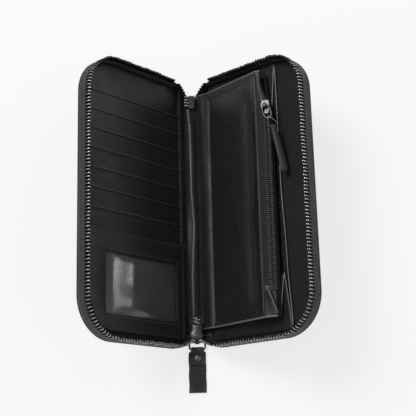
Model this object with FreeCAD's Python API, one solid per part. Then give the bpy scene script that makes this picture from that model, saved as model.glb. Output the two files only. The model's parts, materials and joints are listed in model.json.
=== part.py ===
"""Long zip-around wallet, lying on its spine with both covers raised.

Frame: millimetres, +Y along the spine (the zip pull is at -Y), +Z up, origin at the middle of the
spine's underside.  Every cover piece is first drawn on the wallet laid open flat, in cover
coordinates: u outward from the fold line, v along the spine, w up from the leather's inner face.
Then the whole cover is raised about its fold line.
"""
import math
import os

import FreeCAD
import Part

# ---------------------------------------------------------------- driving dimensions (mm, degrees)
FOLD_X = 10.0            # fold lines stand this far each side of the middle
LEATHER = 1.2            # outer leather thickness, also the height of the fold lines
FRONT_RAISE = 47.76      # front cover, on the -X side
BACK_RAISE = 42.19       # back cover, on the +X side

COVER_U = 96.2           # outer leather: reach from the fold line
COVER_V = 98.2           # outer leather: half length
COVER_CORNER = 28.6
COVER_NOTCH = 10.0       # rounding of the corner beside the spine
FOLD_GAP = 0.3           # leather starts this far from the fold line
SPINE_V = 90.0

STIFFENER = 0.8
LINING_TOP = 1.4
EDGE_INSET = 1.5         # inner layers stop this far inside the leather's edge
INNER_START = 1.0

ZIP_U = 95.5             # middle of the main zip's wall
ZIP_V = 97.5
ZIP_CORNER = 27.9
ZIP_NOTCH = 12.5
ZIP_START_U = 8.0        # the wall is free of the spine from here on
TAPE_THICK = 1.0
TAPE_TOP = 6.8

TOOTH_PITCH = 2.39
TOOTH_LENGTH = 1.05      # along the row
TOOTH_THICK = 2.4
TOOTH_LOW = 6.0
TOOTH_HIGH = 10.9
TOOTH_TAPER = 0.3
FIT = 0.05               # clearance between a tooth and the tape it grips

SLOT_COUNT = 7
SLOT_TOP_V = 72.6
SLOT_PITCH = 13.8
SLOT_LENGTH = 19.8
SLOT_THICK = 0.75
SLOT_RISE = 1.0 / SLOT_PITCH
CARD_U = (4.3, 90.0)
CARD_V = (-91.4, 94.0)
BACKING_OUT = 91.5
CARD_CORNER = 21.0       # the card panel is rounded where it meets the zip's corners
BACKING_TOP = 1.8
WINDOW_PANEL_V = -24.0
WINDOW_U = (10.0, 75.5)
WINDOW_V = (-80.5, -39.0)
WINDOW_CORNER = 1.5
WINDOW_LOW = 3.2
WINDOW_HIGH = 4.2
FILM_LOW = 2.85
FILM_HIGH = 3.1
FILM_MARGIN = 3.5
BINDING_U = (0.8, 4.1)
BINDING_TOP = 4.3

LEAF_U = (6.0, 75.0)
LEAF_V = (-93.4, 94.9)
LEAF_CORNER = 2.5
LEAF_LOW = 1.5
LEAF_HIGH = 2.5
FLAP = 0.35              # gusset leather
GUSSET_FOLD_V = 58.0     # the accordion folds reach in to here
GUSSET_INNER = 37.0       # and start this far out from the spine
TAB_U = (0.8, 4.2)
TAB_V = (-85.0, 88.0)
TAB_TOP = 3.9

POCKET_HINGE_U = 4.5
POCKET_HINGE_W = 4.6
POCKET_OPEN = 8.0        # angle between coin pocket and cover
PANEL_START = 0.5
PANEL_EDGE = 57.0        # front panel's outer edge
PANEL_THICK = 0.9
PANEL_V = (-82.0, 84.6)
HEM_V = (88.8, 89.9)     # top of the hem at the outer edge and at the spine side
SEAM_V = -84.8
REAR_EDGE = 64.0
REAR_THICK = 0.7
REAR_DROP = 0.0887       # slope of the rear panel away from the front one
REAR_START = 1.0
REAR_LIP_Q = -5.9
REAR_LIP = 0.7
HEM_PROUD = 0.15
SEAM_PROUD = 0.1
BAG_P = (8.0, 55.5)
BAG_SKIN = 0.25

ZIP_FACE_TILT = 31.0     # the coin zip's face turns down from the front panel
ZIP_FACE_DROP = 0.3
COIN_ZIP_V = (-67.0, 66.0)
COIN_TAPE_N = (-1.0, -0.6)
COIN_COIL_R = 0.85
COIN_COIL_N = 0.3
COIN_COIL_S = (4.05, 6.75)
COIN_SPLIT = (4.9, 5.9)  # slot along the chain's middle for the slider's neck
COIN_TAPE_END = 8.5

SLIDER_S = 5.4
SLIDER_V = (55.5, 65.5)
SLIDER_WIDTH = 6.4
LINK_HINGE_V = 61.0
LINK_HINGE_N = 3.4
LINK_WIRE = 0.65
LINK_LEAN_S = 3.1         # the link lies a little outward of the chain, and a little up
LINK_LEAN_N = 0.9
LINK_LENGTH = 9.6
LINK_WIDTH = 5.6
LINK_CORNER = 1.2
EYE_BORE = 0.78
EYE_OUTER = 1.35
EYE_HALF = 0.8
EYE_TIP_HALF = 1.7
EYE_THICK = 0.8
EYE_END = (56.0, 46.4, 58.2)      # where the eye enters the leather pull
PULL_END = (62.2, 15.0, 57.6)     # loose end of the leather pull
PULL_WIDTH = 4.2
PULL_THICK = 1.6

LINING_STRIP_X = (-4.9, 2.5)
LINING_STRIP_Y = (-75.0, 79.6)
LINING_STRIP_TOP = 4.8
LINING_STRIP_SKIN = 0.8
LINING_STRIP_SHOULDER = (1.4, 1.2)
REINFORCE_X = 8.5
REINFORCE_Y = 88.0
REINFORCE_TOP = 1.6

END_TAPE_X = 5.3
END_TAPE_Z = (5.2, 5.8)
END_TOOTH_Z = (4.3, 6.7)
END_TOOTH_X = 2.5
END_TOOTH_TIP = 0.9
END_TAPE_GAP = 1.5
END_TAPE_FOOT = 0.6
END_TOOTH_COUNT = 4
LOWER_TAPE_Y = (-81.4, -75.2)
LOWER_TOOTH_Y = -76.9     # first of the meshed teeth beside the slider
UPPER_TAPE_X = (-1.9, 2.3)
UPPER_TAPE_Y = (79.8, 90.0)
UPPER_TOOTH_X = (-5.3, -1.4)
UPPER_TOOTH_Y = 81.6      # first of the loose teeth at the top of the spine

SLIDE_NARROW_Y = -81.9
SLIDE_WIDE_Y = -92.0
SLIDE_NARROW = 3.2
SLIDE_WIDE = 4.3
SLIDE_PLATES = ((3.0, 4.0), (7.0, 8.0))
SLIDE_FLANGE = 0.6
SLIDE_FLANGE_HIGH = 0.8

RING_Z = 1.8
RING_NEAR_Y = -93.2
RING_FAR_Y = -98.3
RING_HALF = 5.5
RING_WIRE = 0.7
RING_CORNER = 1.3
BAIL_HALF = 1.5
BAIL_HOLE = 0.8
BAIL_OUTER = 1.5

STRAP_BORE = 0.8
STRAP_THICK = 0.95
STRAP_NECK = 4.5
STRAP_X = (-6.4, 6.0)
STRAP_NECK_Y = -100.2
STRAP_END_Y = -129.0
STRAP_TAIL_Y = -109.0
STRAP_FLAT_Y = -101.6
RIVET_Y = -104.2
RIVET_POST = 1.0
RIVET_CAP = 2.5
RIVET_CAP_HIGH = 1.3

X_AXIS = FreeCAD.Vector(1, 0, 0)
Y_AXIS = FreeCAD.Vector(0, 1, 0)
Z_AXIS = FreeCAD.Vector(0, 0, 1)
FRONT, BACK = -1, 1


def vec(x, y, z=0.0):
    return FreeCAD.Vector(x, y, z)


def box(x_range, y_range, z_range):
    low = vec(min(x_range), min(y_range), min(z_range))
    size = [max(pair) - min(pair) for pair in (x_range, y_range, z_range)]
    return Part.makeBox(size[0], size[1], size[2], low)


def prism(points, along, distance):
    """A polygon of 3-D points, pushed along a direction."""
    ring = Part.makePolygon(points + [points[0]])
    return Part.Face(ring).extrude(along * distance)


def fuse(shapes):
    return shapes[0].multiFuse(shapes[1:]).removeSplitter()


def arc(centre, radius, start_deg, middle_deg, end_deg):
    ends = []
    for angle in (start_deg, middle_deg, end_deg):
        turn = math.radians(angle)
        ends.append(centre + vec(radius * math.cos(turn), radius * math.sin(turn)))
    return Part.Arc(*ends).toShape(), ends[0], ends[2]


def line(start, end):
    return Part.makeLine(start, end)


# ---------------------------------------------------------------- placing things on the covers
def raise_cover(shape, side):
    """Turn a piece drawn on the flat-open wallet up with its cover."""
    turned = shape.copy()
    angle = FRONT_RAISE if side == FRONT else -BACK_RAISE
    turned.rotate(vec(side * FOLD_X, 0, LEATHER), Y_AXIS, angle)
    return turned


def flat_to_frame(shape, side):
    """Cover coordinates (u, v, w) to the flat-open wallet, mirrored for the front cover."""
    if side == FRONT:
        shape = shape.mirror(vec(0, 0, 0), X_AXIS)
    moved = shape.copy()
    moved.translate(vec(side * FOLD_X, 0, LEATHER))
    return moved


def on_cover(shape, side):
    return raise_cover(flat_to_frame(shape, side), side)


def on_pocket(shape):
    """Pocket coordinates (p outward, v, q up from the front panel) to the frame."""
    turned = shape.copy()
    turned.rotate(vec(0, 0, 0), Y_AXIS, -POCKET_OPEN)
    turned.translate(vec(POCKET_HINGE_U, 0, POCKET_HINGE_W))
    return on_cover(turned, BACK)


def on_zip_face(shape):
    """Zip-face coordinates (s outward, v, n up from the face) to the frame."""
    turned = shape.copy()
    turned.rotate(vec(0, 0, 0), Y_AXIS, ZIP_FACE_TILT)
    turned.translate(vec(PANEL_EDGE, 0, -ZIP_FACE_DROP))
    return on_pocket(turned)


# ---------------------------------------------------------------- outlines
def cover_edges(start_u, out_u, out_v, corner, notch):
    """Edges round a cover from the spine at -v, out and back to the spine at +v."""
    side_angle = math.degrees(math.acos((notch - start_u) / notch))
    near_low = vec(notch, -(out_v - notch))
    far_low = vec(out_u - corner, -(out_v - corner))
    far_high = vec(out_u - corner, out_v - corner)
    near_high = vec(notch, out_v - notch)
    first, start, first_end = arc(near_low, notch, 180 + side_angle, 225 + side_angle / 2, 270)
    second, second_start, second_end = arc(far_low, corner, 270, 315, 360)
    third, third_start, third_end = arc(far_high, corner, 0, 45, 90)
    last, last_start, end = arc(near_high, notch, 90, 135 - side_angle / 2, 180 - side_angle)
    edges = [first, line(first_end, second_start), second, line(second_end, third_start),
             third, line(third_end, last_start), last]
    return edges, start, end


def cover_sheet(start_u, out_u, out_v, corner, notch, low, high):
    edges, start, end = cover_edges(start_u, out_u, out_v, corner, notch)
    face = Part.Face(Part.Wire(edges + [line(end, start)]))
    face.translate(vec(0, 0, low))
    return face.extrude(Z_AXIS * (high - low))


def rounded_plate(u_range, v_range, radius, low, high):
    """Rectangle with rounded outer corners at the high-u side."""
    u0, u1 = u_range
    v0, v1 = v_range
    lower, lower_start, lower_end = arc(vec(u1 - radius, v0 + radius), radius, 270, 315, 360)
    upper, upper_start, upper_end = arc(vec(u1 - radius, v1 - radius), radius, 0, 45, 90)
    edges = [line(vec(u0, v0), lower_start), lower, line(lower_end, upper_start), upper,
             line(upper_end, vec(u0, v1)), line(vec(u0, v1), vec(u0, v0))]
    face = Part.Face(Part.Wire(edges))
    face.translate(vec(0, 0, low))
    return face.extrude(Z_AXIS * (high - low))


# ---------------------------------------------------------------- covers
def outer_leather():
    return cover_sheet(FOLD_GAP, COVER_U, COVER_V, COVER_CORNER, COVER_NOTCH, -LEATHER, 0)


def inner_layer(low, high):
    inset = EDGE_INSET
    return cover_sheet(INNER_START, COVER_U - inset, COVER_V - inset, COVER_CORNER - inset,
                       ZIP_NOTCH, low, high)


def zip_wall():
    half = TAPE_THICK / 2
    outer, outer_start, outer_end = cover_edges(ZIP_START_U - half, ZIP_U + half, ZIP_V + half,
                                                ZIP_CORNER + half, ZIP_NOTCH + half)
    inner, inner_start, inner_end = cover_edges(ZIP_START_U + half, ZIP_U - half, ZIP_V - half,
                                                ZIP_CORNER - half, ZIP_NOTCH - half)
    edges = outer + [line(outer_end, inner_end)] + inner + [line(inner_start, outer_start)]
    face = Part.Face(Part.Wire(Part.__sortEdges__(edges)))
    return face.extrude(Z_AXIS * TAPE_TOP)


def zip_row_point(distance):
    """Point and heading (degrees) on the zip's middle line, measured from its -v end."""
    turn = math.acos((ZIP_NOTCH - ZIP_START_U) / ZIP_NOTCH)
    small = ZIP_NOTCH * (math.pi / 2 - turn)
    side = ZIP_U - ZIP_CORNER - ZIP_NOTCH
    big = ZIP_CORNER * math.pi / 2
    front = 2 * (ZIP_V - ZIP_CORNER)
    total = 2 * (small + side + big) + front
    mirrored = distance > total / 2
    along = total - distance if mirrored else distance
    if along < small:
        angle = math.pi + turn + along / ZIP_NOTCH
        u = ZIP_NOTCH + ZIP_NOTCH * math.cos(angle)
        v = -(ZIP_V - ZIP_NOTCH) + ZIP_NOTCH * math.sin(angle)
        heading = math.degrees(angle) + 90
    elif along < small + side:
        u = ZIP_NOTCH + along - small
        v = -ZIP_V
        heading = 0.0
    elif along < small + side + big:
        angle = 1.5 * math.pi + (along - small - side) / ZIP_CORNER
        u = ZIP_U - ZIP_CORNER + ZIP_CORNER * math.cos(angle)
        v = -(ZIP_V - ZIP_CORNER) + ZIP_CORNER * math.sin(angle)
        heading = math.degrees(angle) + 90
    else:
        u = ZIP_U
        v = -(ZIP_V - ZIP_CORNER) + along - small - side - big
        heading = 90.0
    if mirrored:
        v = -v
        heading = 180 - heading
    return u, v, heading, total


def tooth():
    """One tooth, gripping the tape edge: row direction along x, middle of the tape at y = 0."""
    half = TOOTH_THICK / 2
    slot = TAPE_THICK / 2 + FIT
    slot_top = TAPE_TOP + FIT
    outline = [(-half, TOOTH_LOW), (-slot, TOOTH_LOW), (-slot, slot_top), (slot, slot_top),
               (slot, TOOTH_LOW), (half, TOOTH_LOW), (half, TOOTH_HIGH - 1.0),
               (half - TOOTH_TAPER, TOOTH_HIGH), (TOOTH_TAPER - half, TOOTH_HIGH),
               (-half, TOOTH_HIGH - 1.0)]
    points = [vec(-TOOTH_LENGTH / 2, y, z) for y, z in outline]
    return prism(points, X_AXIS, TOOTH_LENGTH)


def zip_teeth(offset):
    """A row of teeth; the two covers' rows stand half a pitch apart so that they mesh."""
    total = zip_row_point(0.0)[3]
    count = int((total - 2 * TOOTH_PITCH) / TOOTH_PITCH)
    start = (total - count * TOOTH_PITCH) / 2 + offset
    pattern = tooth()
    teeth = []
    for index in range(count):
        u, v, heading, _ = zip_row_point(start + index * TOOTH_PITCH)
        one = pattern.copy()
        one.rotate(vec(0, 0, 0), Z_AXIS, heading)
        one.translate(vec(u, v, 0))
        teeth.append(one)
    return Part.makeCompound(teeth)


# ---------------------------------------------------------------- card side
def card_slot(index):
    """A leather strip that rises towards its mouth and laps over the strip above it."""
    top_v = SLOT_TOP_V - SLOT_PITCH * index
    low_v = top_v - SLOT_LENGTH
    low_w = BACKING_TOP + FIT
    high_w = low_w + SLOT_LENGTH * SLOT_RISE
    profile = [(low_v, low_w), (top_v, high_w), (top_v, high_w + SLOT_THICK),
               (low_v, low_w + SLOT_THICK)]
    points = [vec(CARD_U[0], v, w) for v, w in profile]
    return prism(points, X_AXIS, CARD_U[1] - CARD_U[0])


def window_frame():
    outline = rounded_plate(CARD_U, CARD_V, CARD_CORNER, WINDOW_LOW, WINDOW_HIGH)
    lower = box((0, CARD_U[1] + 5), (CARD_V[0] - 5, WINDOW_PANEL_V), (WINDOW_LOW - 1, WINDOW_HIGH + 1))
    panel = outline.common(lower)
    hole = box(WINDOW_U, WINDOW_V, (WINDOW_LOW - 1, WINDOW_HIGH + 1))
    upright = [edge for edge in hole.Edges if abs(edge.tangentAt(edge.FirstParameter).z) > 0.9]
    hole = hole.makeFillet(WINDOW_CORNER, upright)
    return panel.cut(hole)


def window_film():
    grow = FILM_MARGIN
    return box((WINDOW_U[0] - grow, WINDOW_U[1] + grow), (WINDOW_V[0] - grow, WINDOW_V[1] + grow),
               (FILM_LOW, FILM_HIGH))


# ---------------------------------------------------------------- coin pocket, pocket coordinates
def rear_top(p):
    return -REAR_START - REAR_DROP * p


def pocket_prism(profile, v_range):
    points = [vec(p, v_range[0], q) for p, q in profile]
    return prism(points, Y_AXIS, v_range[1] - v_range[0])


def pocket_front():
    return pocket_prism([(PANEL_START, 0), (PANEL_EDGE, 0), (PANEL_EDGE, -PANEL_THICK),
                         (PANEL_START, -PANEL_THICK)], PANEL_V)


def pocket_rear():
    lip_p = REAR_EDGE - REAR_LIP
    profile = [(PANEL_START, rear_top(PANEL_START)), (lip_p, rear_top(lip_p)),
               (lip_p, REAR_LIP_Q), (REAR_EDGE, REAR_LIP_Q),
               (REAR_EDGE, rear_top(REAR_EDGE) - REAR_THICK),
               (PANEL_START, rear_top(PANEL_START) - REAR_THICK)]
    return pocket_prism(profile, PANEL_V)


def pocket_end(v_low, v_outer, v_spine, proud):
    """Strip that closes the pocket at one end, through its whole thickness."""
    slope = math.tan(math.radians(ZIP_FACE_TILT))
    edge_q = proud - (REAR_EDGE - PANEL_EDGE) * slope
    profile = [(PANEL_START, proud), (PANEL_EDGE, proud), (REAR_EDGE, edge_q),
               (REAR_EDGE, rear_top(REAR_EDGE) - REAR_THICK),
               (PANEL_START, rear_top(PANEL_START) - REAR_THICK)]
    reach = max(abs(v_outer), abs(v_spine)) + 1
    ends = (v_low, math.copysign(reach, v_outer))
    strip = pocket_prism(profile, (min(ends), max(ends)))
    plan = [vec(0, v_low, -20), vec(REAR_EDGE + 1, v_low, -20), vec(REAR_EDGE + 1, v_outer, -20),
            vec(0, v_spine, -20)]
    return strip.common(prism(plan, Z_AXIS, 40))


def pocket_lining():
    """Thin bag inside the pocket, open towards the zip."""
    skin, (start, end) = BAG_SKIN, BAG_P
    under = -PANEL_THICK - FIT
    profile = [(start, under), (end, under), (end, under - skin), (start + skin, under - skin),
               (start + skin, rear_top(start + skin) + FIT + skin),
               (end, rear_top(end) + FIT + skin), (end, rear_top(end) + FIT),
               (start, rear_top(start) + FIT)]
    return pocket_prism(profile, (PANEL_V[0] + 1, PANEL_V[1] - 1))


def gusset_pocket_flap(sign):
    """Triangle of gusset leather under the rear panel."""
    edge_v = -SEAM_V if sign < 0 else HEM_V[0]
    corners = [(GUSSET_INNER, edge_v), (REAR_EDGE - 0.2, edge_v), (REAR_EDGE - 0.6, GUSSET_FOLD_V)]
    points = [vec(p, sign * v, rear_top(p) - REAR_THICK - FIT - FLAP) for p, v in corners]
    return prism(points, Z_AXIS, FLAP)


def gusset_leaf_flap(sign):
    """Triangle of gusset leather lying on the leaf."""
    edge_v = min(abs(LEAF_V[0]), LEAF_V[1]) - 0.4
    corners = [(GUSSET_INNER, edge_v), (LEAF_U[1] - LEAF_CORNER, edge_v),
               (LEAF_U[1] - 0.4, edge_v - LEAF_CORNER), (LEAF_U[1] - 0.8, GUSSET_FOLD_V)]
    points = [vec(u, sign * v, LEAF_HIGH + FIT) for u, v in corners]
    return prism(points, Z_AXIS, FLAP)


# ---------------------------------------------------------------- coin zip, zip-face coordinates
def coin_tapes():
    front = box((0.25, COIN_SPLIT[0]), COIN_ZIP_V, COIN_TAPE_N)
    rear = box((COIN_SPLIT[1], COIN_TAPE_END), COIN_ZIP_V, COIN_TAPE_N)
    return Part.makeCompound([front, rear])


def coin_coil():
    rods = []
    for s in COIN_COIL_S:
        length = COIN_ZIP_V[1] - COIN_ZIP_V[0]
        rods.append(Part.makeCylinder(COIN_COIL_R, length, vec(s, COIN_ZIP_V[0], COIN_COIL_N), Y_AXIS))
    return Part.makeCompound(rods)


def coin_zip_ends():
    ends = []
    for v_range in ((COIN_ZIP_V[1] + 0.3, PANEL_V[1] - 0.1), (PANEL_V[0] + 0.1, COIN_ZIP_V[0] - 0.3)):
        ends.append(box((0.5, COIN_TAPE_END - 0.4), v_range, (-0.6, 0.6)))
    return Part.makeCompound(ends)


def coin_slider():
    half = SLIDER_WIDTH / 2
    v0, v1 = SLIDER_V
    plan = [(SLIDER_S - half * 0.72, v0), (SLIDER_S + half * 0.72, v0), (SLIDER_S + half, v1 - 3.0),
            (SLIDER_S + half * 0.7, v1), (SLIDER_S - half * 0.7, v1), (SLIDER_S - half, v1 - 3.0)]
    top = prism([vec(s, v, 1.4) for s, v in plan], Z_AXIS, 0.9)
    under_half = half * 0.72
    under = box((SLIDER_S - under_half, SLIDER_S + under_half), (v0, v1 - 0.5), (-1.65, -1.2))
    neck = box((COIN_SPLIT[0] + 0.12, COIN_SPLIT[1] - 0.12), (v1 - 4.0, v1 - 1.2), (-1.3, 1.5))
    hinge = vec(SLIDER_S, LINK_HINGE_V, LINK_HINGE_N)
    loop = Part.makeCylinder(1.75, 2.4, hinge - X_AXIS * 1.2, X_AXIS)
    foot = box((SLIDER_S - 1.2, SLIDER_S + 1.2), (LINK_HINGE_V - 1.75, LINK_HINGE_V + 1.75),
               (2.2, LINK_HINGE_N))
    crown = loop.fuse(foot)
    crown = crown.cut(Part.makeCylinder(LINK_WIRE + 0.12, 4.0, hinge - X_AXIS * 2, X_AXIS))
    crown.rotate(hinge, Z_AXIS, math.degrees(math.atan2(LINK_LEAN_S, LINK_LENGTH)))
    return fuse([top, under, neck, crown])


def wire_loop(half_width, length, corner, wire):
    """Closed loop of round wire: near bar through the origin along x, far bar at y = -length."""
    w, c = half_width, corner
    lower_left, _, _ = arc(vec(-w + c, -length + c), c, 180, 225, 270)
    lower_right, _, _ = arc(vec(w - c, -length + c), c, 270, 315, 360)
    upper_right, _, _ = arc(vec(w - c, -c), c, 0, 45, 90)
    upper_left, _, _ = arc(vec(-w + c, -c), c, 90, 135, 180)
    edges = [line(vec(-w + c, 0), vec(w - c, 0)), upper_right, line(vec(w, -c), vec(w, -length + c)),
             lower_right, line(vec(w - c, -length), vec(-w + c, -length)), lower_left,
             line(vec(-w, -length + c), vec(-w, -c)), upper_left]
    path = Part.Wire(Part.__sortEdges__(edges))
    start = path.Edges[0].valueAt(path.Edges[0].FirstParameter)
    heading = path.Edges[0].tangentAt(path.Edges[0].FirstParameter)
    profile = Part.Wire(Part.makeCircle(wire, start, heading))
    return path.makePipeShell([profile], True, True)


def aim(shape, start, end, across):
    """Place a piece drawn from the origin along -y so that it runs from start to end."""
    ahead = (vec(*start) - vec(*end)).normalize()
    side = (across - ahead * across.dot(ahead)).normalize()
    up = side.cross(ahead)
    matrix = FreeCAD.Matrix(side.x, ahead.x, up.x, start[0], side.y, ahead.y, up.y, start[1],
                            side.z, ahead.z, up.z, start[2], 0, 0, 0, 1)
    placed = shape.copy()
    placed.Placement = FreeCAD.Placement(matrix)
    return placed


def link_start():
    return on_zip_face(Part.Vertex(SLIDER_S, LINK_HINGE_V, LINK_HINGE_N)).Point


def link_end():
    """The link lies back along the chain, leaning a little off it."""
    far = Part.Vertex(SLIDER_S + LINK_LEAN_S, LINK_HINGE_V - LINK_LENGTH, LINK_HINGE_N + LINK_LEAN_N)
    return on_zip_face(far).Point


def link_axis():
    """Direction of the link's two cross bars."""
    across = on_zip_face(Part.Vertex(1, 0, 0)).Point - on_zip_face(Part.Vertex(0, 0, 0)).Point
    ahead = (link_start() - link_end()).normalize()
    return (across - ahead * across.dot(ahead)).normalize()


def pull_link():
    start, end = link_start(), link_end()
    length = (end - start).Length
    loop = wire_loop(LINK_WIDTH / 2, length, LINK_CORNER, LINK_WIRE)
    return aim(loop, tuple(start), tuple(end), link_axis())


def pull_eye():
    """Eye on the link's far bar, with a flat tang that is sewn into the leather pull."""
    centre = link_end()
    axis = link_axis()
    length = (vec(*EYE_END) - centre).Length + 1.5
    half = EYE_THICK / 2
    plan = [vec(-EYE_HALF, 0, -half), vec(EYE_HALF, 0, -half), vec(EYE_TIP_HALF, -length, -half),
            vec(-EYE_TIP_HALF, -length, -half)]
    tang = aim(prism(plan, Z_AXIS, EYE_THICK), tuple(centre), EYE_END, axis)
    barrel = Part.makeCylinder(EYE_OUTER, 2 * EYE_HALF, centre - axis * EYE_HALF, axis)
    bore = Part.makeCylinder(EYE_BORE, 6, centre - axis * 3, axis)
    return barrel.fuse(tang).removeSplitter().cut(bore)


def pull_leather():
    start = vec(*EYE_END)
    length = (vec(*PULL_END) - start).Length
    half, thick = PULL_WIDTH / 2, PULL_THICK / 2
    strip = box((-half, half), (-length, 0), (-thick, thick))
    upright = [edge for edge in strip.Edges if abs(edge.tangentAt(edge.FirstParameter).z) > 0.9]
    strip = strip.makeFillet(0.9, upright)
    return aim(strip, EYE_END, PULL_END, X_AXIS).cut(pull_eye())


# ---------------------------------------------------------------- spine
def spine_lining():
    """Loosely folded strip: an arch of thin leather along the inside of the spine."""
    x0, x1 = LINING_STRIP_X
    skin, foot, top = LINING_STRIP_SKIN, REINFORCE_TOP, LINING_STRIP_TOP
    across, down = LINING_STRIP_SHOULDER
    inside = top - down - skin / 2
    profile = [(x0, foot), (x0, top - down), (x0 + across, top), (x1 - across, top),
               (x1, top - down), (x1, foot), (x1 - skin, foot), (x1 - skin, inside),
               (x1 - across - skin / 2, top - skin), (x0 + across + skin / 2, top - skin),
               (x0 + skin, inside), (x0 + skin, foot)]
    points = [vec(x, LINING_STRIP_Y[0], z) for x, z in profile]
    return prism(points, Y_AXIS, LINING_STRIP_Y[1] - LINING_STRIP_Y[0])


def end_tape(x_range, y_range, root_y):
    """Tape end: stands up from the spine at root_y, then lies flat."""
    flat = box(x_range, y_range, END_TAPE_Z)
    root = box(x_range, root_y, (REINFORCE_TOP, END_TAPE_Z[1]))
    return flat.fuse(root).removeSplitter()


def lower_tape():
    """Two tape halves side by side, joined only at their root."""
    y0, y1 = LOWER_TAPE_Y
    root_y = y1 - END_TAPE_FOOT
    gap = box((-END_TAPE_GAP, END_TAPE_GAP), (y0 - 1, root_y), (END_TAPE_Z[0] - 1, END_TAPE_Z[1] + 1))
    return end_tape((-END_TAPE_X, END_TAPE_X), LOWER_TAPE_Y, (root_y, y1)).cut(gap)


def upper_tape():
    y0 = UPPER_TAPE_Y[0]
    return end_tape(UPPER_TAPE_X, UPPER_TAPE_Y, (y0, y0 + END_TAPE_FOOT))


def end_tooth(x_range, tape_x, y):
    """Tooth that grips the part of a flat tape end lying inside tape_x."""
    half = TOOTH_LENGTH / 2
    block = box(x_range, (y - half, y + half), END_TOOTH_Z)
    grip = box(tape_x, (y - 1, y + 1), (END_TAPE_Z[0] - FIT, END_TAPE_Z[1] + FIT))
    return block.cut(grip)


def lower_teeth():
    """Meshed teeth: each grips the tape on its own side and reaches past the middle."""
    outer, tip, edge = END_TOOTH_X, END_TOOTH_TIP, END_TAPE_GAP - FIT
    teeth = []
    for index in range(END_TOOTH_COUNT):
        y = LOWER_TOOTH_Y - index * TOOTH_PITCH / 2
        if index % 2 == 0:
            teeth.append(end_tooth((-outer, tip), (-outer - 1, -edge), y))
        else:
            teeth.append(end_tooth((-tip, outer), (edge, outer + 1), y))
    return Part.makeCompound(teeth)


def upper_teeth():
    edge = UPPER_TAPE_X[0] - FIT
    rows = [UPPER_TOOTH_Y + index * TOOTH_PITCH for index in range(END_TOOTH_COUNT)]
    return Part.makeCompound([end_tooth(UPPER_TOOTH_X, (edge, 0), y) for y in rows])


# ---------------------------------------------------------------- main slider, ring and strap
def slider_outline(inset, low, high):
    """Pear-shaped plate, narrow towards the chain."""
    narrow, wide = SLIDE_NARROW - inset, SLIDE_WIDE - inset
    y0, y1 = SLIDE_NARROW_Y, SLIDE_WIDE_Y + inset
    mid = y0 - 3.2
    low_mid = y1 + 3.4
    edges = [line(vec(-narrow, y0), vec(narrow, y0)), line(vec(narrow, y0), vec(narrow, mid)),
             line(vec(narrow, mid), vec(wide, low_mid)),
             Part.Arc(vec(wide, low_mid), vec(wide * 0.72, y1 + 0.75), vec(0, y1)).toShape(),
             Part.Arc(vec(0, y1), vec(-wide * 0.72, y1 + 0.75), vec(-wide, low_mid)).toShape(),
             line(vec(-wide, low_mid), vec(-narrow, mid)), line(vec(-narrow, mid), vec(-narrow, y0))]
    face = Part.Face(Part.Wire(edges))
    face.translate(vec(0, 0, low))
    return face.extrude(Z_AXIS * (high - low))


def slider_body():
    (low0, low1), (high0, high1) = SLIDE_PLATES
    lower = slider_outline(0, low0, low1 + SLIDE_FLANGE_HIGH)
    lower = lower.cut(slider_outline(SLIDE_FLANGE, low1, low1 + 2))
    upper = slider_outline(0, high0 - SLIDE_FLANGE_HIGH, high1)
    upper = upper.cut(slider_outline(SLIDE_FLANGE, high0 - 2, high0))
    mouth = box((-SLIDE_NARROW + SLIDE_FLANGE, SLIDE_NARROW - SLIDE_FLANGE),
                (SLIDE_NARROW_Y - 1, SLIDE_NARROW_Y + 1), (low1, high0))
    rear = box((-SLIDE_WIDE, SLIDE_WIDE), (SLIDE_WIDE_Y - 1, SLIDE_WIDE_Y + 2.6), (low1, high0))
    post = box((-1.5, 1.5), (SLIDE_WIDE_Y + 0.6, SLIDE_WIDE_Y + 2.8), (low1 - 0.2, high0 + 0.2))
    return fuse([lower.cut(mouth).cut(rear), upper.cut(mouth).cut(rear), post])


def slider_bail():
    centre = vec(-BAIL_HALF, RING_NEAR_Y, RING_Z)
    eye = Part.makeCylinder(BAIL_OUTER, 2 * BAIL_HALF, centre, X_AXIS)
    arm = box((-BAIL_HALF, BAIL_HALF), (RING_NEAR_Y + 0.4, RING_NEAR_Y + 4.4),
              (2.1, SLIDE_PLATES[0][0]))
    hole = Part.makeCylinder(BAIL_HOLE, 2 * BAIL_HALF + 2, centre - X_AXIS, X_AXIS)
    return eye.fuse(arm).removeSplitter().cut(hole)


def pull_ring():
    ring = wire_loop(RING_HALF, RING_NEAR_Y - RING_FAR_Y, RING_CORNER, RING_WIRE)
    ring.translate(vec(0, RING_NEAR_Y, RING_Z))
    return ring


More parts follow.
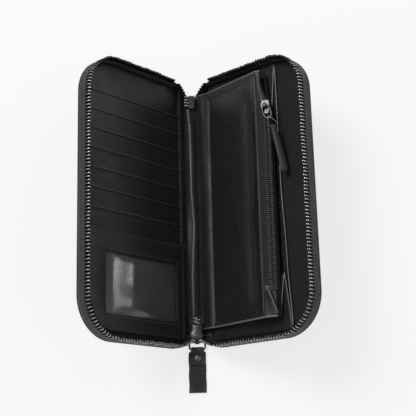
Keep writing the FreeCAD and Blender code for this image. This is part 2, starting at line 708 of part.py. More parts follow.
def pull_strap():
    """Strap folded round the ring's far bar, its short tail riveted down on top."""
    bore, skin = STRAP_BORE, STRAP_THICK
    low = RING_Z - bore - skin
    fold_axis = vec(-STRAP_NECK, RING_FAR_Y, RING_Z)
    fold = Part.makeCylinder(bore + skin, 2 * STRAP_NECK, fold_axis, X_AXIS)
    fold = fold.cut(Part.makeCylinder(bore, 2 * STRAP_NECK, fold_axis, X_AXIS))
    fold = fold.common(box((-8, 8), (RING_FAR_Y, RING_FAR_Y + 5), (-5, 10)))
    under = box(STRAP_X, (STRAP_END_Y, STRAP_NECK_Y), (low, low + skin))
    under_neck = box((-STRAP_NECK, STRAP_NECK), (STRAP_NECK_Y, RING_FAR_Y), (low, low + skin))
    top = low + skin + FIT
    rise = RING_Z + bore
    tail_side = [(RING_FAR_Y, rise), (RING_FAR_Y, rise + skin), (STRAP_NECK_Y, rise + skin - 0.3),
                 (STRAP_FLAT_Y, top + skin), (STRAP_TAIL_Y, top + skin), (STRAP_TAIL_Y, top),
                 (STRAP_FLAT_Y, top), (STRAP_NECK_Y, rise - 0.3)]
    tail = prism([vec(STRAP_X[0], y, z) for y, z in tail_side], X_AXIS, STRAP_X[1] - STRAP_X[0])
    shoulders = [box((STRAP_X[0], -STRAP_NECK), (STRAP_NECK_Y, RING_FAR_Y + 1), (low, 8)),
                 box((STRAP_NECK, STRAP_X[1]), (STRAP_NECK_Y, RING_FAR_Y + 1), (low, 8))]
    strap = fuse([fold, under, under_neck, tail])
    for shoulder in shoulders:
        strap = strap.cut(shoulder)
    hole = Part.makeCylinder(RIVET_POST + FIT, 10, vec(0, RIVET_Y, -2), Z_AXIS)
    return strap.cut(hole)


def strap_top():
    return RING_Z - STRAP_BORE + STRAP_THICK + FIT


def rivet_stud():
    return Part.makeCylinder(RIVET_POST, strap_top() + 0.5, vec(0, RIVET_Y, 0.1), Z_AXIS)


def rivet_cap():
    base = strap_top() + FIT
    radius = (RIVET_CAP ** 2 + RIVET_CAP_HIGH ** 2) / (2 * RIVET_CAP_HIGH)
    dome = Part.makeSphere(radius, vec(0, RIVET_Y, base + RIVET_CAP_HIGH - radius))
    keep = box((-5, 5), (RIVET_Y - 5, RIVET_Y + 5), (base, base + 5))
    socket = Part.makeCylinder(RIVET_POST, 0.62, vec(0, RIVET_Y, base - 0.05), Z_AXIS)
    return dome.common(keep).cut(socket)


# ---------------------------------------------------------------- all nodes
def spine_nodes():
    return {
        "spine_leather": box((-FOLD_X, FOLD_X), (-SPINE_V, SPINE_V), (0, LEATHER)),
        "spine_reinforcement": box((-REINFORCE_X, REINFORCE_X), (-REINFORCE_Y, REINFORCE_Y),
                                   (LEATHER, REINFORCE_TOP)),
        "spine_lining": spine_lining(),
        "zip_tape_lower_end": lower_tape(),
        "lower_end_teeth": lower_teeth(),
        "zip_tape_upper_end": upper_tape(),
        "upper_end_teeth": upper_teeth(),
    }


def pull_nodes():
    return {
        "slider_body": slider_body(),
        "slider_bail": slider_bail(),
        "pull_ring": pull_ring(),
        "pull_strap": pull_strap(),
        "rivet_stud": rivet_stud(),
        "rivet_cap": rivet_cap(),
    }


def cover_nodes(name, side):
    teeth_offset = -TOOTH_PITCH / 4 if side == FRONT else TOOTH_PITCH / 4
    shapes = {
        name + "_outer_leather": outer_leather(),
        name + "_stiffener": inner_layer(0, STIFFENER),
        name + "_lining": inner_layer(STIFFENER, LINING_TOP),
        name + "_zip_tape": zip_wall(),
        name + "_zip_teeth": zip_teeth(teeth_offset),
    }
    return {node: on_cover(shape, side) for node, shape in shapes.items()}


def card_nodes():
    shapes = {
        "card_backing": rounded_plate((2.0, BACKING_OUT), CARD_V, CARD_CORNER, LINING_TOP, BACKING_TOP),
        "id_window_frame": window_frame(),
        "id_window_film": window_film(),
        "card_edge_binding": box(BINDING_U, CARD_V, (BACKING_TOP, BINDING_TOP)),
    }
    for index in range(SLOT_COUNT):
        shapes["card_slot_%d" % (index + 1)] = card_slot(index)
    return {node: on_cover(shape, FRONT) for node, shape in shapes.items()}


def back_nodes():
    flaps = Part.makeCompound([gusset_leaf_flap(-1), gusset_leaf_flap(1)])
    shapes = {
        "leaf_panel": rounded_plate(LEAF_U, LEAF_V, LEAF_CORNER, LEAF_LOW, LEAF_HIGH),
        "gusset_leaf_flaps": flaps,
        "pocket_spine_tab": box(TAB_U, TAB_V, (LINING_TOP, TAB_TOP)),
    }
    return {node: on_cover(shape, BACK) for node, shape in shapes.items()}


def coin_nodes():
    flaps = Part.makeCompound([gusset_pocket_flap(-1), gusset_pocket_flap(1)])
    nodes = {
        "coin_front_panel": pocket_front(),
        "coin_rear_panel": pocket_rear(),
        "coin_pocket_lining": pocket_lining(),
        "coin_top_hem": pocket_end(PANEL_V[1] + FIT, HEM_V[0], HEM_V[1], HEM_PROUD),
        "coin_bottom_seam": pocket_end(PANEL_V[0] - FIT, SEAM_V, SEAM_V, SEAM_PROUD),
        "gusset_pocket_flaps": flaps,
    }
    nodes = {node: on_pocket(shape) for node, shape in nodes.items()}
    zip_shapes = {
        "coin_zip_tapes": coin_tapes(),
        "coin_zip_coil": coin_coil(),
        "coin_zip_ends": coin_zip_ends(),
        "coin_slider_body": coin_slider(),
    }
    for node, shape in zip_shapes.items():
        nodes[node] = on_zip_face(shape)
    nodes["coin_pull_link"] = pull_link()
    nodes["coin_pull_eye"] = pull_eye()
    nodes["coin_pull_leather"] = pull_leather()
    return nodes


def main():
    os.makedirs("parts", exist_ok=True)
    nodes = {}
    nodes.update(spine_nodes())
    nodes.update(pull_nodes())
    nodes.update(cover_nodes("front", FRONT))
    nodes.update(cover_nodes("back", BACK))
    nodes.update(card_nodes())
    nodes.update(back_nodes())
    nodes.update(coin_nodes())
    for node, shape in nodes.items():
        shape.exportStep("parts/%s.step" % node)
        print(node, len(shape.Solids), round(shape.Volume / 1000, 3), shape.isValid())


main()
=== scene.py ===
"""Visual model of the long zip-around wallet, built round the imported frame.

Pieces are drawn in millimetres in the wallet's own coordinates and scaled to metres when their mesh is made.
Cover coordinates: u outward from the fold line, v along the spine, w up from the cover's inner face.
Pocket coordinates: p outward from the coin pocket's hinge, v, q up from its front panel.
Zip-face coordinates: s outward across the coin zip, v, n up from the zip's face.
"""
import json
import math
import random

import bmesh
import bpy
from mathutils import Matrix, Vector, noise


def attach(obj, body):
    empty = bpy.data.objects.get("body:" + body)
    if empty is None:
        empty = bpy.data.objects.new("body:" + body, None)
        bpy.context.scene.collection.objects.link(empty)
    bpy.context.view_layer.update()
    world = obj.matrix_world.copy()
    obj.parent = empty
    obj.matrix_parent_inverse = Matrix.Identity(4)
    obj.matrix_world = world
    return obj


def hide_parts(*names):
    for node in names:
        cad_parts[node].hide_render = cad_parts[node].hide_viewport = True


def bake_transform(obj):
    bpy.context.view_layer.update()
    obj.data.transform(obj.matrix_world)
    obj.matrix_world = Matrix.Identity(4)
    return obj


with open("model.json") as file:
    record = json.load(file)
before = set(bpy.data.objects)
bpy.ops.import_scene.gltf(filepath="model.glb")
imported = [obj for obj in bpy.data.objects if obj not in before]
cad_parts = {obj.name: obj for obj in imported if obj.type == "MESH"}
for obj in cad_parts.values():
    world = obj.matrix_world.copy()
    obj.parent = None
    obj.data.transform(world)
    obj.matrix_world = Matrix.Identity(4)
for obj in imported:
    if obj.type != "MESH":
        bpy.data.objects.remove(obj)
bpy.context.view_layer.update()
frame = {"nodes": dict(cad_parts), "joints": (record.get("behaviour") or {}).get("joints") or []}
random.seed(11)

MM = 0.001
FRONT, BACK = -1, 1
X_AXIS, Y_AXIS, Z_AXIS = Vector((1, 0, 0)), Vector((0, 1, 0)), Vector((0, 0, 1))
JOINTS = {joint["name"]: joint for joint in frame["joints"]}


def joint_place(name):
    """A joint's place in millimetres."""
    return Vector(JOINTS[name]["pos_m"]) / MM


# ---------------------------------------------------------------- driving dimensions (mm, degrees)
FOLD_X = joint_place("back_fold").x
LEATHER = joint_place("back_fold").z
RAISE = {FRONT: math.radians(-JOINTS["front_fold"]["range_deg"][0]),
         BACK: math.radians(-JOINTS["back_fold"]["range_deg"][0])}
NAMES = {FRONT: "front", BACK: "back"}
FOLD_SPAN = 4.0          # the leather bends over this far each side of the fold line
SPINE_V = 90.0
COVER_U, COVER_V = 96.2, 98.2
COVER_CORNER, COVER_NOTCH = 28.6, 10.0
COVER_CROWN = 0.9        # padding of the covers' outside

ZIP_U, ZIP_V = 95.5, 97.5
ZIP_CORNER, ZIP_NOTCH = 27.9, 12.5
ZIP_START_U = 8.0
TOOTH_PITCH = 2.39
TOOTH_LOW, TOOTH_HIGH = 6.7, 10.9
TOOTH_ROW = 8.4          # height of a tooth row's middle over the cover's inner face
RUN_IN_REACH = 8.2       # the foot of a run-in ends this far inside the fold line
RUN_BEND_IN, RUN_BEND_OUT = 6.0, 7.5
RUN_FOOT_INSET = 1.34

SLOT_COUNT, SLOT_TOP_V, SLOT_PITCH, SLOT_LENGTH = 7, 72.6, 13.8, 19.8
SLOT_THICK = 0.75
CARD_U, CARD_V = (4.3, 90.0), (-91.4, 94.0)
CARD_CORNER = 21.0
BACKING_TOP = 1.8
WINDOW_PANEL_V = -24.0
WINDOW_U, WINDOW_V = (10.0, 75.5), (-80.5, -39.0)
WINDOW_LOW, WINDOW_HIGH = 3.2, 4.2
FILM_MARGIN = 3.5
FILM_CREST_U, FILM_TURN_U, FILM_FLOOR = 49.0, 69.0, 2.3

LEAF_V, LEAF_CORNER = (-93.4, 94.9), 2.5
LEAF_START, LEAF_LOW, LEAF_HIGH = 6.0, 1.5, 2.5
LEAF_EDGE = [(-93.0, 75.0), (-45.0, 72.5), (10.0, 70.2), (95.0, 69.6)]

POCKET_U, POCKET_W = 4.5, 4.6
POCKET_OPEN = math.radians(8.0)
PANEL_EDGE, PANEL_LIP, PANEL_THICK = 57.0, 56.2, 0.9
PANEL_V = (-82.0, 84.6)
HEM_V = (88.8, 89.9)
SEAM_V = -84.8
REAR_EDGE = 64.0
REAR_CURVE = [(-85.0, 63.4), (-67.0, 63.9), (55.0, 63.9), (84.0, 59.0), (90.0, 58.6)]
REAR_DROP = 0.0887
ZIP_TILT = math.radians(31.0)
ZIP_DROP = 0.3
COIN_ZIP_V = (-67.0, 66.0)
COIN_MIDDLE = 5.4
COIN_PITCH = 1.5

STRIP_X, STRIP_Y, STRIP_TOP = (-4.9, 2.5), (-75.0, 79.6), 4.8
RING_Z = joint_place("ring_swing").z
RING_NEAR_Y = joint_place("ring_swing").y
RING_FAR_Y = joint_place("strap_swing").y
STRAP_X, STRAP_NECK = (-6.4, 6.0), 4.5
STRAP_END_Y, STRAP_TAIL_Y = -128.2, -109.0
RIVET_Y = -104.2
SLIDER_MOUTH = (2.6, -92.0, 5.5)      # where a tooth row enters the main slider
EYE_END = Vector((56.0, 46.4, 58.2))
PULL_END = Vector((62.9, 12.6, 57.6))


# ---------------------------------------------------------------- coordinates
def on_cover(side):
    """Cover coordinates (u, v, w) to the frame."""
    across, rise = math.cos(RAISE[side]), math.sin(RAISE[side])

    def place(u, v, w):
        return Vector((side * (FOLD_X + u * across - w * rise), v, LEATHER + u * rise + w * across))
    return place


def on_fold(side):
    """Distance from the middle of the spine (t, v, w) to the frame, bending softly at the fold line."""
    cover = on_cover(side)
    radius = FOLD_SPAN / math.tan(RAISE[side] / 2)

    def place(t, v, w):
        if t <= FOLD_X - FOLD_SPAN:
            return Vector((side * t, v, LEATHER + w))
        if t >= FOLD_X + FOLD_SPAN:
            return cover(t - FOLD_X, v, w)
        turn = RAISE[side] * (t - FOLD_X + FOLD_SPAN) / (2 * FOLD_SPAN)
        x = FOLD_X - FOLD_SPAN + (radius - w) * math.sin(turn)
        return Vector((side * x, v, LEATHER + radius - (radius - w) * math.cos(turn)))
    return place


def on_pocket(p, v, q):
    """Pocket coordinates to the frame."""
    u = POCKET_U + p * math.cos(POCKET_OPEN) - q * math.sin(POCKET_OPEN)
    w = POCKET_W + p * math.sin(POCKET_OPEN) + q * math.cos(POCKET_OPEN)
    return on_cover(BACK)(u, v, w)


def on_zip_face(s, v, n):
    """Coordinates across the coin zip to the frame."""
    p = PANEL_EDGE + s * math.cos(ZIP_TILT) + n * math.sin(ZIP_TILT)
    q = -ZIP_DROP - s * math.sin(ZIP_TILT) + n * math.cos(ZIP_TILT)
    return on_pocket(p, v, q)


def as_is(x, y, z):
    """The frame's own coordinates, for what lies on the floor."""
    return Vector((x, y, z))


def ease(value, low=0.0, high=1.0):
    """Smooth step from 0 at low to 1 at high."""
    part = min(1.0, max(0.0, (value - low) / (high - low)))
    return part * part * (3 - 2 * part)


def hump(value, centre, width):
    """Smooth bump of height 1 at its centre."""
    return math.exp(-((value - centre) / width) ** 2)


def spread(low, high, count):
    """Evenly spaced values from low to high, both included."""
    return [low + (high - low) * i / count for i in range(count + 1)]


def along_curve(points, value):
    """Smooth height at value through a short list of (place, height) points in rising order."""
    if value <= points[0][0]:
        return points[0][1]
    for (x0, y0), (x1, y1) in zip(points, points[1:]):
        if value <= x1:
            return y0 + (y1 - y0) * ease(value, x0, x1)
    return points[-1][1]


# ---------------------------------------------------------------- mesh helpers
def make_object(name, bm, material):
    """Smooth object from a mesh, with its one material."""
    mesh = bpy.data.meshes.new(name)
    bm.to_mesh(mesh)
    bm.free()
    mesh.shade_smooth()
    piece = bpy.data.objects.new(name, mesh)
    bpy.context.scene.collection.objects.link(piece)
    piece.data.materials.append(material)
    return piece


def finish_piece(name, bm, material, bevel=0.0, sharp=35.0, keep=None):
    """Bevels the sharp edges, makes the object and gives it its finish."""
    bmesh.ops.remove_doubles(bm, verts=bm.verts, dist=2e-6)
    bmesh.ops.recalc_face_normals(bm, faces=bm.faces)
    if bevel:
        edges = [edge for edge in bm.edges if len(edge.link_faces) == 2
                 and edge.calc_face_angle(0.0) > math.radians(sharp) and (keep is None or keep(edge))]
        bmesh.ops.bevel(bm, geom=edges, offset=bevel * MM, offset_type="OFFSET", segments=3,
                        profile=0.5, affect="EDGES", clamp_overlap=True)
        bmesh.ops.recalc_face_normals(bm, faces=bm.faces)
    piece = make_object(name, bm, material)
    if bevel:
        piece.modifiers.new("even_shading", "WEIGHTED_NORMAL").mode = "FACE_AREA_WITH_ANGLE"
    return piece


def build(name, points, faces, material, bevel=0.0, sharp=35.0, keep=None, thread=None):
    """A piece from points in millimetres; thread holds weave coordinates per point."""
    bm = bmesh.new()
    layer = bm.verts.layers.float_vector.new("thread") if thread else None
    verts = []
    for index, point in enumerate(points):
        vert = bm.verts.new(point * MM)
        if layer:
            vert[layer] = thread[index]
        verts.append(vert)
    for face in faces:
        bm.faces.new([verts[i] for i in face])
    return finish_piece(name, bm, material, bevel, sharp, keep)


def slab(name, us, parts, edges, surface, place, material, bevel=0.3, keep=None):
    """Closed sheet over stations us; edges(u) gives its two sides, surface(u, v) its low and high face."""
    rows, columns = len(us), len(parts)
    tops, bottoms = [], []
    for u in us:
        low_v, high_v = edges(u)
        for part in parts:
            v = low_v + (high_v - low_v) * part
            low, high = surface(u, v)
            tops.append(place(u, v, high))
            bottoms.append(place(u, v, low))
    count = rows * columns
    faces = []
    for i in range(rows - 1):
        for j in range(columns - 1):
            a = i * columns + j
            quad = (a, a + 1, a + columns + 1, a + columns)
            faces.append(quad)
            faces.append(tuple(count + k for k in reversed(quad)))
    rim = list(range(columns))
    rim += [i * columns + columns - 1 for i in range(1, rows)]
    rim += [(rows - 1) * columns + j for j in range(columns - 2, -1, -1)]
    rim += [i * columns for i in range(rows - 2, 0, -1)]
    for a, b in zip(rim, rim[1:] + rim[:1]):
        faces.append((a, b, count + b, count + a))
    return build(name, tops + bottoms, faces, material, bevel, keep=keep)


def sweep(name, stations, section, material, closed=False):
    """Closed section swept along stations (origin, side direction, up direction)."""
    size, points, thread = len(section), [], []
    girth = [0.0]
    for (a0, b0), (a1, b1) in zip(section, section[1:]):
        girth.append(girth[-1] + math.hypot(a1 - a0, b1 - b0))
    travelled, last = 0.0, stations[0][0]
    for origin, side, up in stations:
        travelled += (origin - last).length
        last = origin
        for k, (a, b) in enumerate(section):
            points.append(origin + side * a + up * b)
            thread.append(Vector((travelled, girth[k], 0)) * MM)
    faces = []
    total = len(stations)
    for i in range(total if closed else total - 1):
        for k in range(size):
            here, following = i * size, (i + 1) % total * size
            faces.append((here + k, here + (k + 1) % size, following + (k + 1) % size, following + k))
    if not closed:
        faces.append(tuple(range(size)))
        faces.append(tuple((total - 1) * size + k for k in range(size - 1, -1, -1)))
    return build(name, points, faces, material, thread=thread)


def loft(name, sections, material, bevel=0.3):
    """Closed solid through sections of equally many points."""
    size = len(sections[0])
    points = [point for section in sections for point in section]
    faces = []
    for i in range(len(sections) - 1):
        for k in range(size):
            a, b = i * size + k, i * size + (k + 1) % size
            faces.append((a, b, b + size, a + size))
    faces.append(tuple(range(size)))
    faces.append(tuple((len(sections) - 1) * size + k for k in range(size - 1, -1, -1)))
    return build(name, points, faces, material, bevel)


def circle(radius, count=8, flat=1.0):
    """Round section, or an oval one where flat is less than 1."""
    turns = [2 * math.pi * k / count for k in range(count)]
    return [(radius * math.cos(turn), radius * flat * math.sin(turn)) for turn in turns]


def tube_stations(points, up, closed=False):
    """Stations along a list of points, with a steady up direction."""
    stations = []
    count = len(points)
    for i, point in enumerate(points):
        ahead = points[(i + 1) % count] if closed or i < count - 1 else point
        behind = points[i - 1] if closed or i > 0 else point
        heading = (ahead - behind).normalized()
        side = heading.cross(up).normalized()
        stations.append((point, side, side.cross(heading).normalized()))
    return stations


def scatter(name, template, matrices, material, tone=None):
    """Many copies of one small template (points, faces) in one piece; tone is a shade by height and y."""
    shape_points, shape_faces = template
    points, faces = [], []
    for matrix in matrices:
        start = len(points)
        points += [matrix @ point for point in shape_points]
        faces += [tuple(start + i for i in face) for face in shape_faces]
    bm = bmesh.new()
    shade = bm.verts.layers.float.new("tone") if tone else None
    verts = [bm.verts.new(point * MM) for point in points]
    if tone:
        for index, vert in enumerate(verts):
            vert[shade] = tone(shape_points[index % len(shape_points)].z, points[index].y)
    for face in faces:
        bm.faces.new([verts[i] for i in face])
    bmesh.ops.recalc_face_normals(bm, faces=bm.faces)
    piece = make_object(name, bm, material)
    return piece


def bead(name, points, radius, material, closed=False):
    """Round rolled edge along a list of points."""
    heading = (points[-1] - points[0]).normalized() if not closed else Y_AXIS
    up = Z_AXIS if abs(heading.z) < 0.8 else X_AXIS
    return sweep(name, tube_stations(points, up, closed), circle(radius, 8), material, closed)


def axes_matrix(origin, x_dir, y_dir, z_dir):
    """Placement with the given axes."""
    matrix = Matrix.Identity(4)
    for column, axis in enumerate((x_dir, y_dir, z_dir, origin)):
        for row in range(3):
            matrix[row][column] = axis[row]
    return matrix


def template_from(bm):
    """Points and faces of a mesh, for scatter."""
    bm.verts.ensure_lookup_table()
    template = [vert.co.copy() for vert in bm.verts], [[v.index for v in face.verts] for face in bm.faces]
    bm.free()
    return template


def thread_template(length, thick):
    """One stitch: a plump thread along x, dipping into the leather at both ends."""
    bm = bmesh.new()
    bmesh.ops.create_uvsphere(bm, u_segments=8, v_segments=7, radius=0.5)
    for vert in bm.verts:
        x, y, z = vert.co
        vert.co = Vector((z * length, y * thick, x * thick - 0.35 * thick * (2 * z) ** 2))
    return template_from(bm)


def stitch_row(name, corners, place, height, material, pitch=2.7, length=2.1, thick=0.5):
    """Row of stitches along corners in local coordinates, lying on a surface of that height."""
    matrices = []
    for (a0, b0), (a1, b1) in zip(corners, corners[1:]):
        reach = math.hypot(a1 - a0, b1 - b0)
        count = max(1, round(reach / pitch))
        for k in range(count):
            part = (k + 0.5) / count
            a, b = a0 + (a1 - a0) * part, b0 + (b1 - b0) * part
            level = height(a, b) if callable(height) else height
            origin = place(a, b, level)
            step_a, step_b = (a1 - a0) / reach * 0.5, (b1 - b0) / reach * 0.5
            far = height(a + step_a, b + step_b) if callable(height) else height
            ahead = (place(a + step_a, b + step_b, far) - origin).normalized()
            up = (place(a, b, level + 1) - origin).normalized()
            side = up.cross(ahead).normalized()
            tilt = Matrix.Rotation(math.radians(random.uniform(4, 9)), 4, "Z")
            matrices.append(axes_matrix(origin, ahead, side, ahead.cross(side)) @ tilt)
    return scatter(name, thread_template(length, thick), matrices, material)


def soften(name, node, material, bevel, sharp=35.0):
    """A rounded copy of a CAD node whose outline is already right."""
    bm = bmesh.new()
    bm.from_mesh(frame["nodes"][node].data)
    bmesh.ops.remove_doubles(bm, verts=bm.verts, dist=1e-6)
    bmesh.ops.dissolve_limit(bm, angle_limit=math.radians(3), verts=bm.verts, edges=bm.edges)
    piece = finish_piece(name, bm, material, bevel, sharp)
    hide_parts(node)
    return piece


# ---------------------------------------------------------------- materials
def wire(tree, kind, inputs=None, **settings):
    """A node with its settings; inputs are values or other nodes' output sockets."""
    made = tree.nodes.new(kind)
    for key, value in settings.items():
        setattr(made, key, value)
    for key, value in (inputs or {}).items():
        if isinstance(value, bpy.types.NodeSocket):
            tree.links.new(value, made.inputs[key])
        else:
            made.inputs[key].default_value = value
    return made


def surface(name, **values):
    """Material with a Principled shader; values are its constant sockets."""
    material = bpy.data.materials.new(name)
    material.use_nodes = True
    tree = material.node_tree
    tree.nodes.clear()
    shader = tree.nodes.new("ShaderNodeBsdfPrincipled")
    for key, value in values.items():
        shader.inputs[key.replace("_", " ")].default_value = value
    output = tree.nodes.new("ShaderNodeOutputMaterial")
    tree.links.new(shader.outputs[0], output.inputs[0])
    return material, tree, shader


def blend_colour(tree, factor, dark, light):
    """Mix of two colours, or of a colour and a socket."""
    mix = wire(tree, "ShaderNodeMix", data_type="RGBA")
    tree.links.new(factor, mix.inputs[0])
    for socket, colour in ((6, dark), (7, light)):
        if isinstance(colour, bpy.types.NodeSocket):
            tree.links.new(colour, mix.inputs[socket])
        else:
            mix.inputs[socket].default_value = (*colour, 1)
    return mix.outputs[2]


def remap(tree, value, low, high, to_low, to_high):
    """Maps a texture's range to another, clamped."""
    return wire(tree, "ShaderNodeMapRange", {0: value, 1: low, 2: high, 3: to_low, 4: to_high}).outputs[0]


def maths(tree, operation, first, second=0.0):
    """Result of a maths node."""
    return wire(tree, "ShaderNodeMath", {0: first, 1: second}, operation=operation).outputs[0]


def object_place(tree):
    """Texture coordinates that move with the piece."""
    return tree.nodes.new("ShaderNodeTexCoord").outputs["Object"]


def noise_texture(tree, place, scale, detail, **extra):
    """Value of a noise texture; extra names more of its sockets."""
    sockets = {"Vector": place, "Scale": scale, "Detail": detail, **extra}
    return wire(tree, "ShaderNodeTexNoise", sockets).outputs[0]


def stretched(tree, place, scale):
    """Texture coordinates scaled unevenly, for lines instead of spots."""
    return wire(tree, "ShaderNodeMapping", {"Vector": place, "Scale": scale}).outputs[0]


def pointiness(tree):
    """High on outer edges, low in hollows."""
    return tree.nodes.new("ShaderNodeNewGeometry").outputs["Pointiness"]


def add_bump(tree, shader, height, strength, distance):
    """Lets a height disturb the shader's normal."""
    bump = wire(tree, "ShaderNodeBump", {"Height": height, "Strength": strength, "Distance": distance})
    tree.links.new(bump.outputs[0], shader.inputs["Normal"])


def leather(name, dark, light, rough, grain=1300.0, depth=0.00005, wear=0.5, creases=0.3, shine=0.35,
            streaked=False):
    """Black leather: pebbled grain, soft creases, uneven polish and paler worn edges."""
    material, tree, shader = surface(name, Coat_Weight=0.05, Coat_Roughness=0.3, Specular_IOR_Level=shine)
    place = object_place(tree)
    voronoi = wire(tree, "ShaderNodeTexVoronoi", {"Vector": place, "Scale": grain, "Randomness": 1.0})
    pebble = voronoi.outputs["Distance"]
    fine = noise_texture(tree, place, grain * 2.6, 3.0)
    patch = noise_texture(tree, place, 38.0, 4.0, Roughness=0.6)
    mottle = noise_texture(tree, place, 620.0, 3.0, Roughness=0.7)
    lines = stretched(tree, place, (150.0, 1400.0, 150.0) if streaked else (120.0, 120.0, 120.0))
    crease = noise_texture(tree, lines, 1.0, 3.0, Distortion=0.3 if streaked else 1.2)

    colour = blend_colour(tree, remap(tree, patch, 0.35, 0.68, 0.0, 1.0), dark, light)
    pits = maths(tree, "ADD", remap(tree, pebble, 0.1, 0.75, 0.0, 0.3),
                 remap(tree, mottle, 0.4, 0.62, 0.0, 0.7))
    colour = blend_colour(tree, pits, colour, tuple(c * 0.4 for c in dark))
    flecks = remap(tree, mottle, 0.5, 0.72, 0.0, 0.35)
    colour = blend_colour(tree, flecks, colour, tuple(c * 2.2 for c in light))
    if streaked:
        light_lines = remap(tree, crease, 0.55, 0.7, 0.0, 0.5)
        colour = blend_colour(tree, light_lines, colour, tuple(c * 2.6 for c in light))
    edge = remap(tree, pointiness(tree), 0.515, 0.575, 0.0, wear)
    colour = blend_colour(tree, edge, colour, tuple(min(1.0, c * 3.2 + 0.01) for c in light))
    tree.links.new(colour, shader.inputs["Base Color"])

    polish = maths(tree, "ADD", remap(tree, patch, 0.3, 0.7, rough + 0.07, rough - 0.07),
                   remap(tree, mottle, 0.35, 0.65, -0.07, 0.09))
    tree.links.new(polish, shader.inputs["Roughness"])
    ridge = remap(tree, maths(tree, "ABSOLUTE", maths(tree, "SUBTRACT", crease, 0.5)), 0.0, 0.12, 0.0, 1.0)
    height = maths(tree, "MULTIPLY", pebble, -0.7)
    for layer, share in ((fine, 0.35), (mottle, 1.6), (ridge, creases)):
        height = maths(tree, "ADD", height, maths(tree, "MULTIPLY", layer, share))
    add_bump(tree, shader, height, 0.75, depth)
    return material


def woven(name, dark, light, pitch, sheen, thread=False, depth=0.00012):
    """Plain weave; with thread, the weave follows the piece's own thread coordinates."""
    material, tree, shader = surface(name, Roughness=0.78, Sheen_Weight=sheen, Sheen_Roughness=0.45)
    place = object_place(tree)
    along = wire(tree, "ShaderNodeAttribute", attribute_name="thread").outputs["Vector"] if thread else place
    split = wire(tree, "ShaderNodeSeparateXYZ", {0: along})
    waves = []
    for axis in (0, 1):
        turns = maths(tree, "MULTIPLY", split.outputs[axis], math.pi / (pitch * MM))
        waves.append(maths(tree, "SINE", turns))
    raised = maths(tree, "ABSOLUTE", maths(tree, "MULTIPLY", waves[0], waves[1]))
    fuzz = noise_texture(tree, place, 3500.0, 2.0)
    fade = noise_texture(tree, place, 60.0, 3.0)
    speck = noise_texture(tree, place, 700.0, 2.0)
    tone = maths(tree, "MULTIPLY", raised, remap(tree, fade, 0.3, 0.7, 0.6, 1.0))
    tone = maths(tree, "MULTIPLY", tone, remap(tree, speck, 0.38, 0.6, 0.35, 1.3))
    tree.links.new(blend_colour(tree, tone, dark, light), shader.inputs["Base Color"])
    add_bump(tree, shader, maths(tree, "ADD", raised, maths(tree, "MULTIPLY", fuzz, 0.4)), 0.8, depth)
    return material


def plated(name, dark, light, rough, brushed=False, toned=False):
    """Plated metal with patina in its hollows and fine scratches; toned follows the piece's own tone."""
    material, tree, shader = surface(name, Metallic=1.0)
    place = object_place(tree)
    patina = noise_texture(tree, place, 420.0, 4.0, Roughness=0.65)
    lines = stretched(tree, place, (6000.0, 300.0, 3000.0) if brushed else (1500.0, 1500.0, 1500.0))
    scratch = noise_texture(tree, lines, 1.0, 2.0)
    worn = remap(tree, pointiness(tree), 0.46, 0.56, 0.0, 0.7)
    tone = maths(tree, "ADD", worn, remap(tree, patina, 0.35, 0.7, 0.0, 0.45))
    if toned:
        own_tone = wire(tree, "ShaderNodeAttribute", attribute_name="tone").outputs["Fac"]
        tone = maths(tree, "MULTIPLY", tone, own_tone)
    tree.links.new(blend_colour(tree, tone, dark, light), shader.inputs["Base Color"])
    finish = remap(tree, scratch, 0.3, 0.7, rough - 0.06, rough + 0.1)
    tree.links.new(finish, shader.inputs["Roughness"])
    add_bump(tree, shader, scratch, 0.35, 0.00002)
    return material


def coil_plastic():
    """Black nylon with a faint sheen."""
    material, tree, shader = surface("coil_nylon", Coat_Weight=0.5, Coat_Roughness=0.2)
    patch = noise_texture(tree, object_place(tree), 900.0, 3.0)
    tone = remap(tree, patch, 0.3, 0.7, 0, 1)
    colour = blend_colour(tree, tone, (0.045, 0.045, 0.047), (0.11, 0.11, 0.114))
    tree.links.new(colour, shader.inputs["Base Color"])
    tree.links.new(remap(tree, patch, 0.3, 0.7, 0.3, 0.45), shader.inputs["Roughness"])
    return material


def clear_film():
    """Soft clear vinyl: see-through, glossy, faintly cloudy and rippled."""
    material, tree, shader = surface("window_vinyl", IOR=1.5, Transmission_Weight=0.96)
    place = object_place(tree)
    cloud = noise_texture(tree, place, 45.0, 4.0)
    ripple = noise_texture(tree, place, 90.0, 2.0)
    tone = remap(tree, cloud, 0.3, 0.7, 0, 1)
    colour = blend_colour(tree, tone, (0.86, 0.84, 0.85), (0.97, 0.96, 0.97))
    tree.links.new(colour, shader.inputs["Base Color"])
    tree.links.new(remap(tree, cloud, 0.3, 0.7, 0.17, 0.24), shader.inputs["Roughness"])
    add_bump(tree, shader, ripple, 0.3, 0.0002)
    return material


OUTER = leather("outer_leather", (0.013, 0.014, 0.016), (0.024, 0.026, 0.030), 0.42,
                grain=1150.0, depth=0.00012, wear=0.4)
INNER = leather("inner_leather", (0.012, 0.012, 0.013), (0.028, 0.028, 0.030), 0.4, grain=1500.0, depth=0.00012)
# Shinier, paler leather of the spine strip; on the card slots' mouths and the upper zip end its paler colour is
# painted highlight.
GLOSSY = leather("spine_strip_leather", (0.020, 0.020, 0.021), (0.042, 0.042, 0.044), 0.4,
                 grain=1500.0, depth=0.00006, wear=0.4, shine=0.6)
# Paler leather for rolled edges: its lighter colour is painted highlight along edges that catch the light.
RIM = leather("edge_leather_painted_highlight", (0.045, 0.045, 0.046), (0.095, 0.095, 0.097), 0.3,
              grain=1500.0, depth=0.00004, wear=0.4, shine=0.7)
PULLER = leather("puller_leather", (0.006, 0.006, 0.0065), (0.014, 0.014, 0.015), 0.5, depth=0.00008)
STRAP = leather("strap_leather", (0.015, 0.0145, 0.016), (0.032, 0.031, 0.034), 0.48,
                grain=1100.0, depth=0.0001, wear=0.6, creases=0.5, streaked=True)
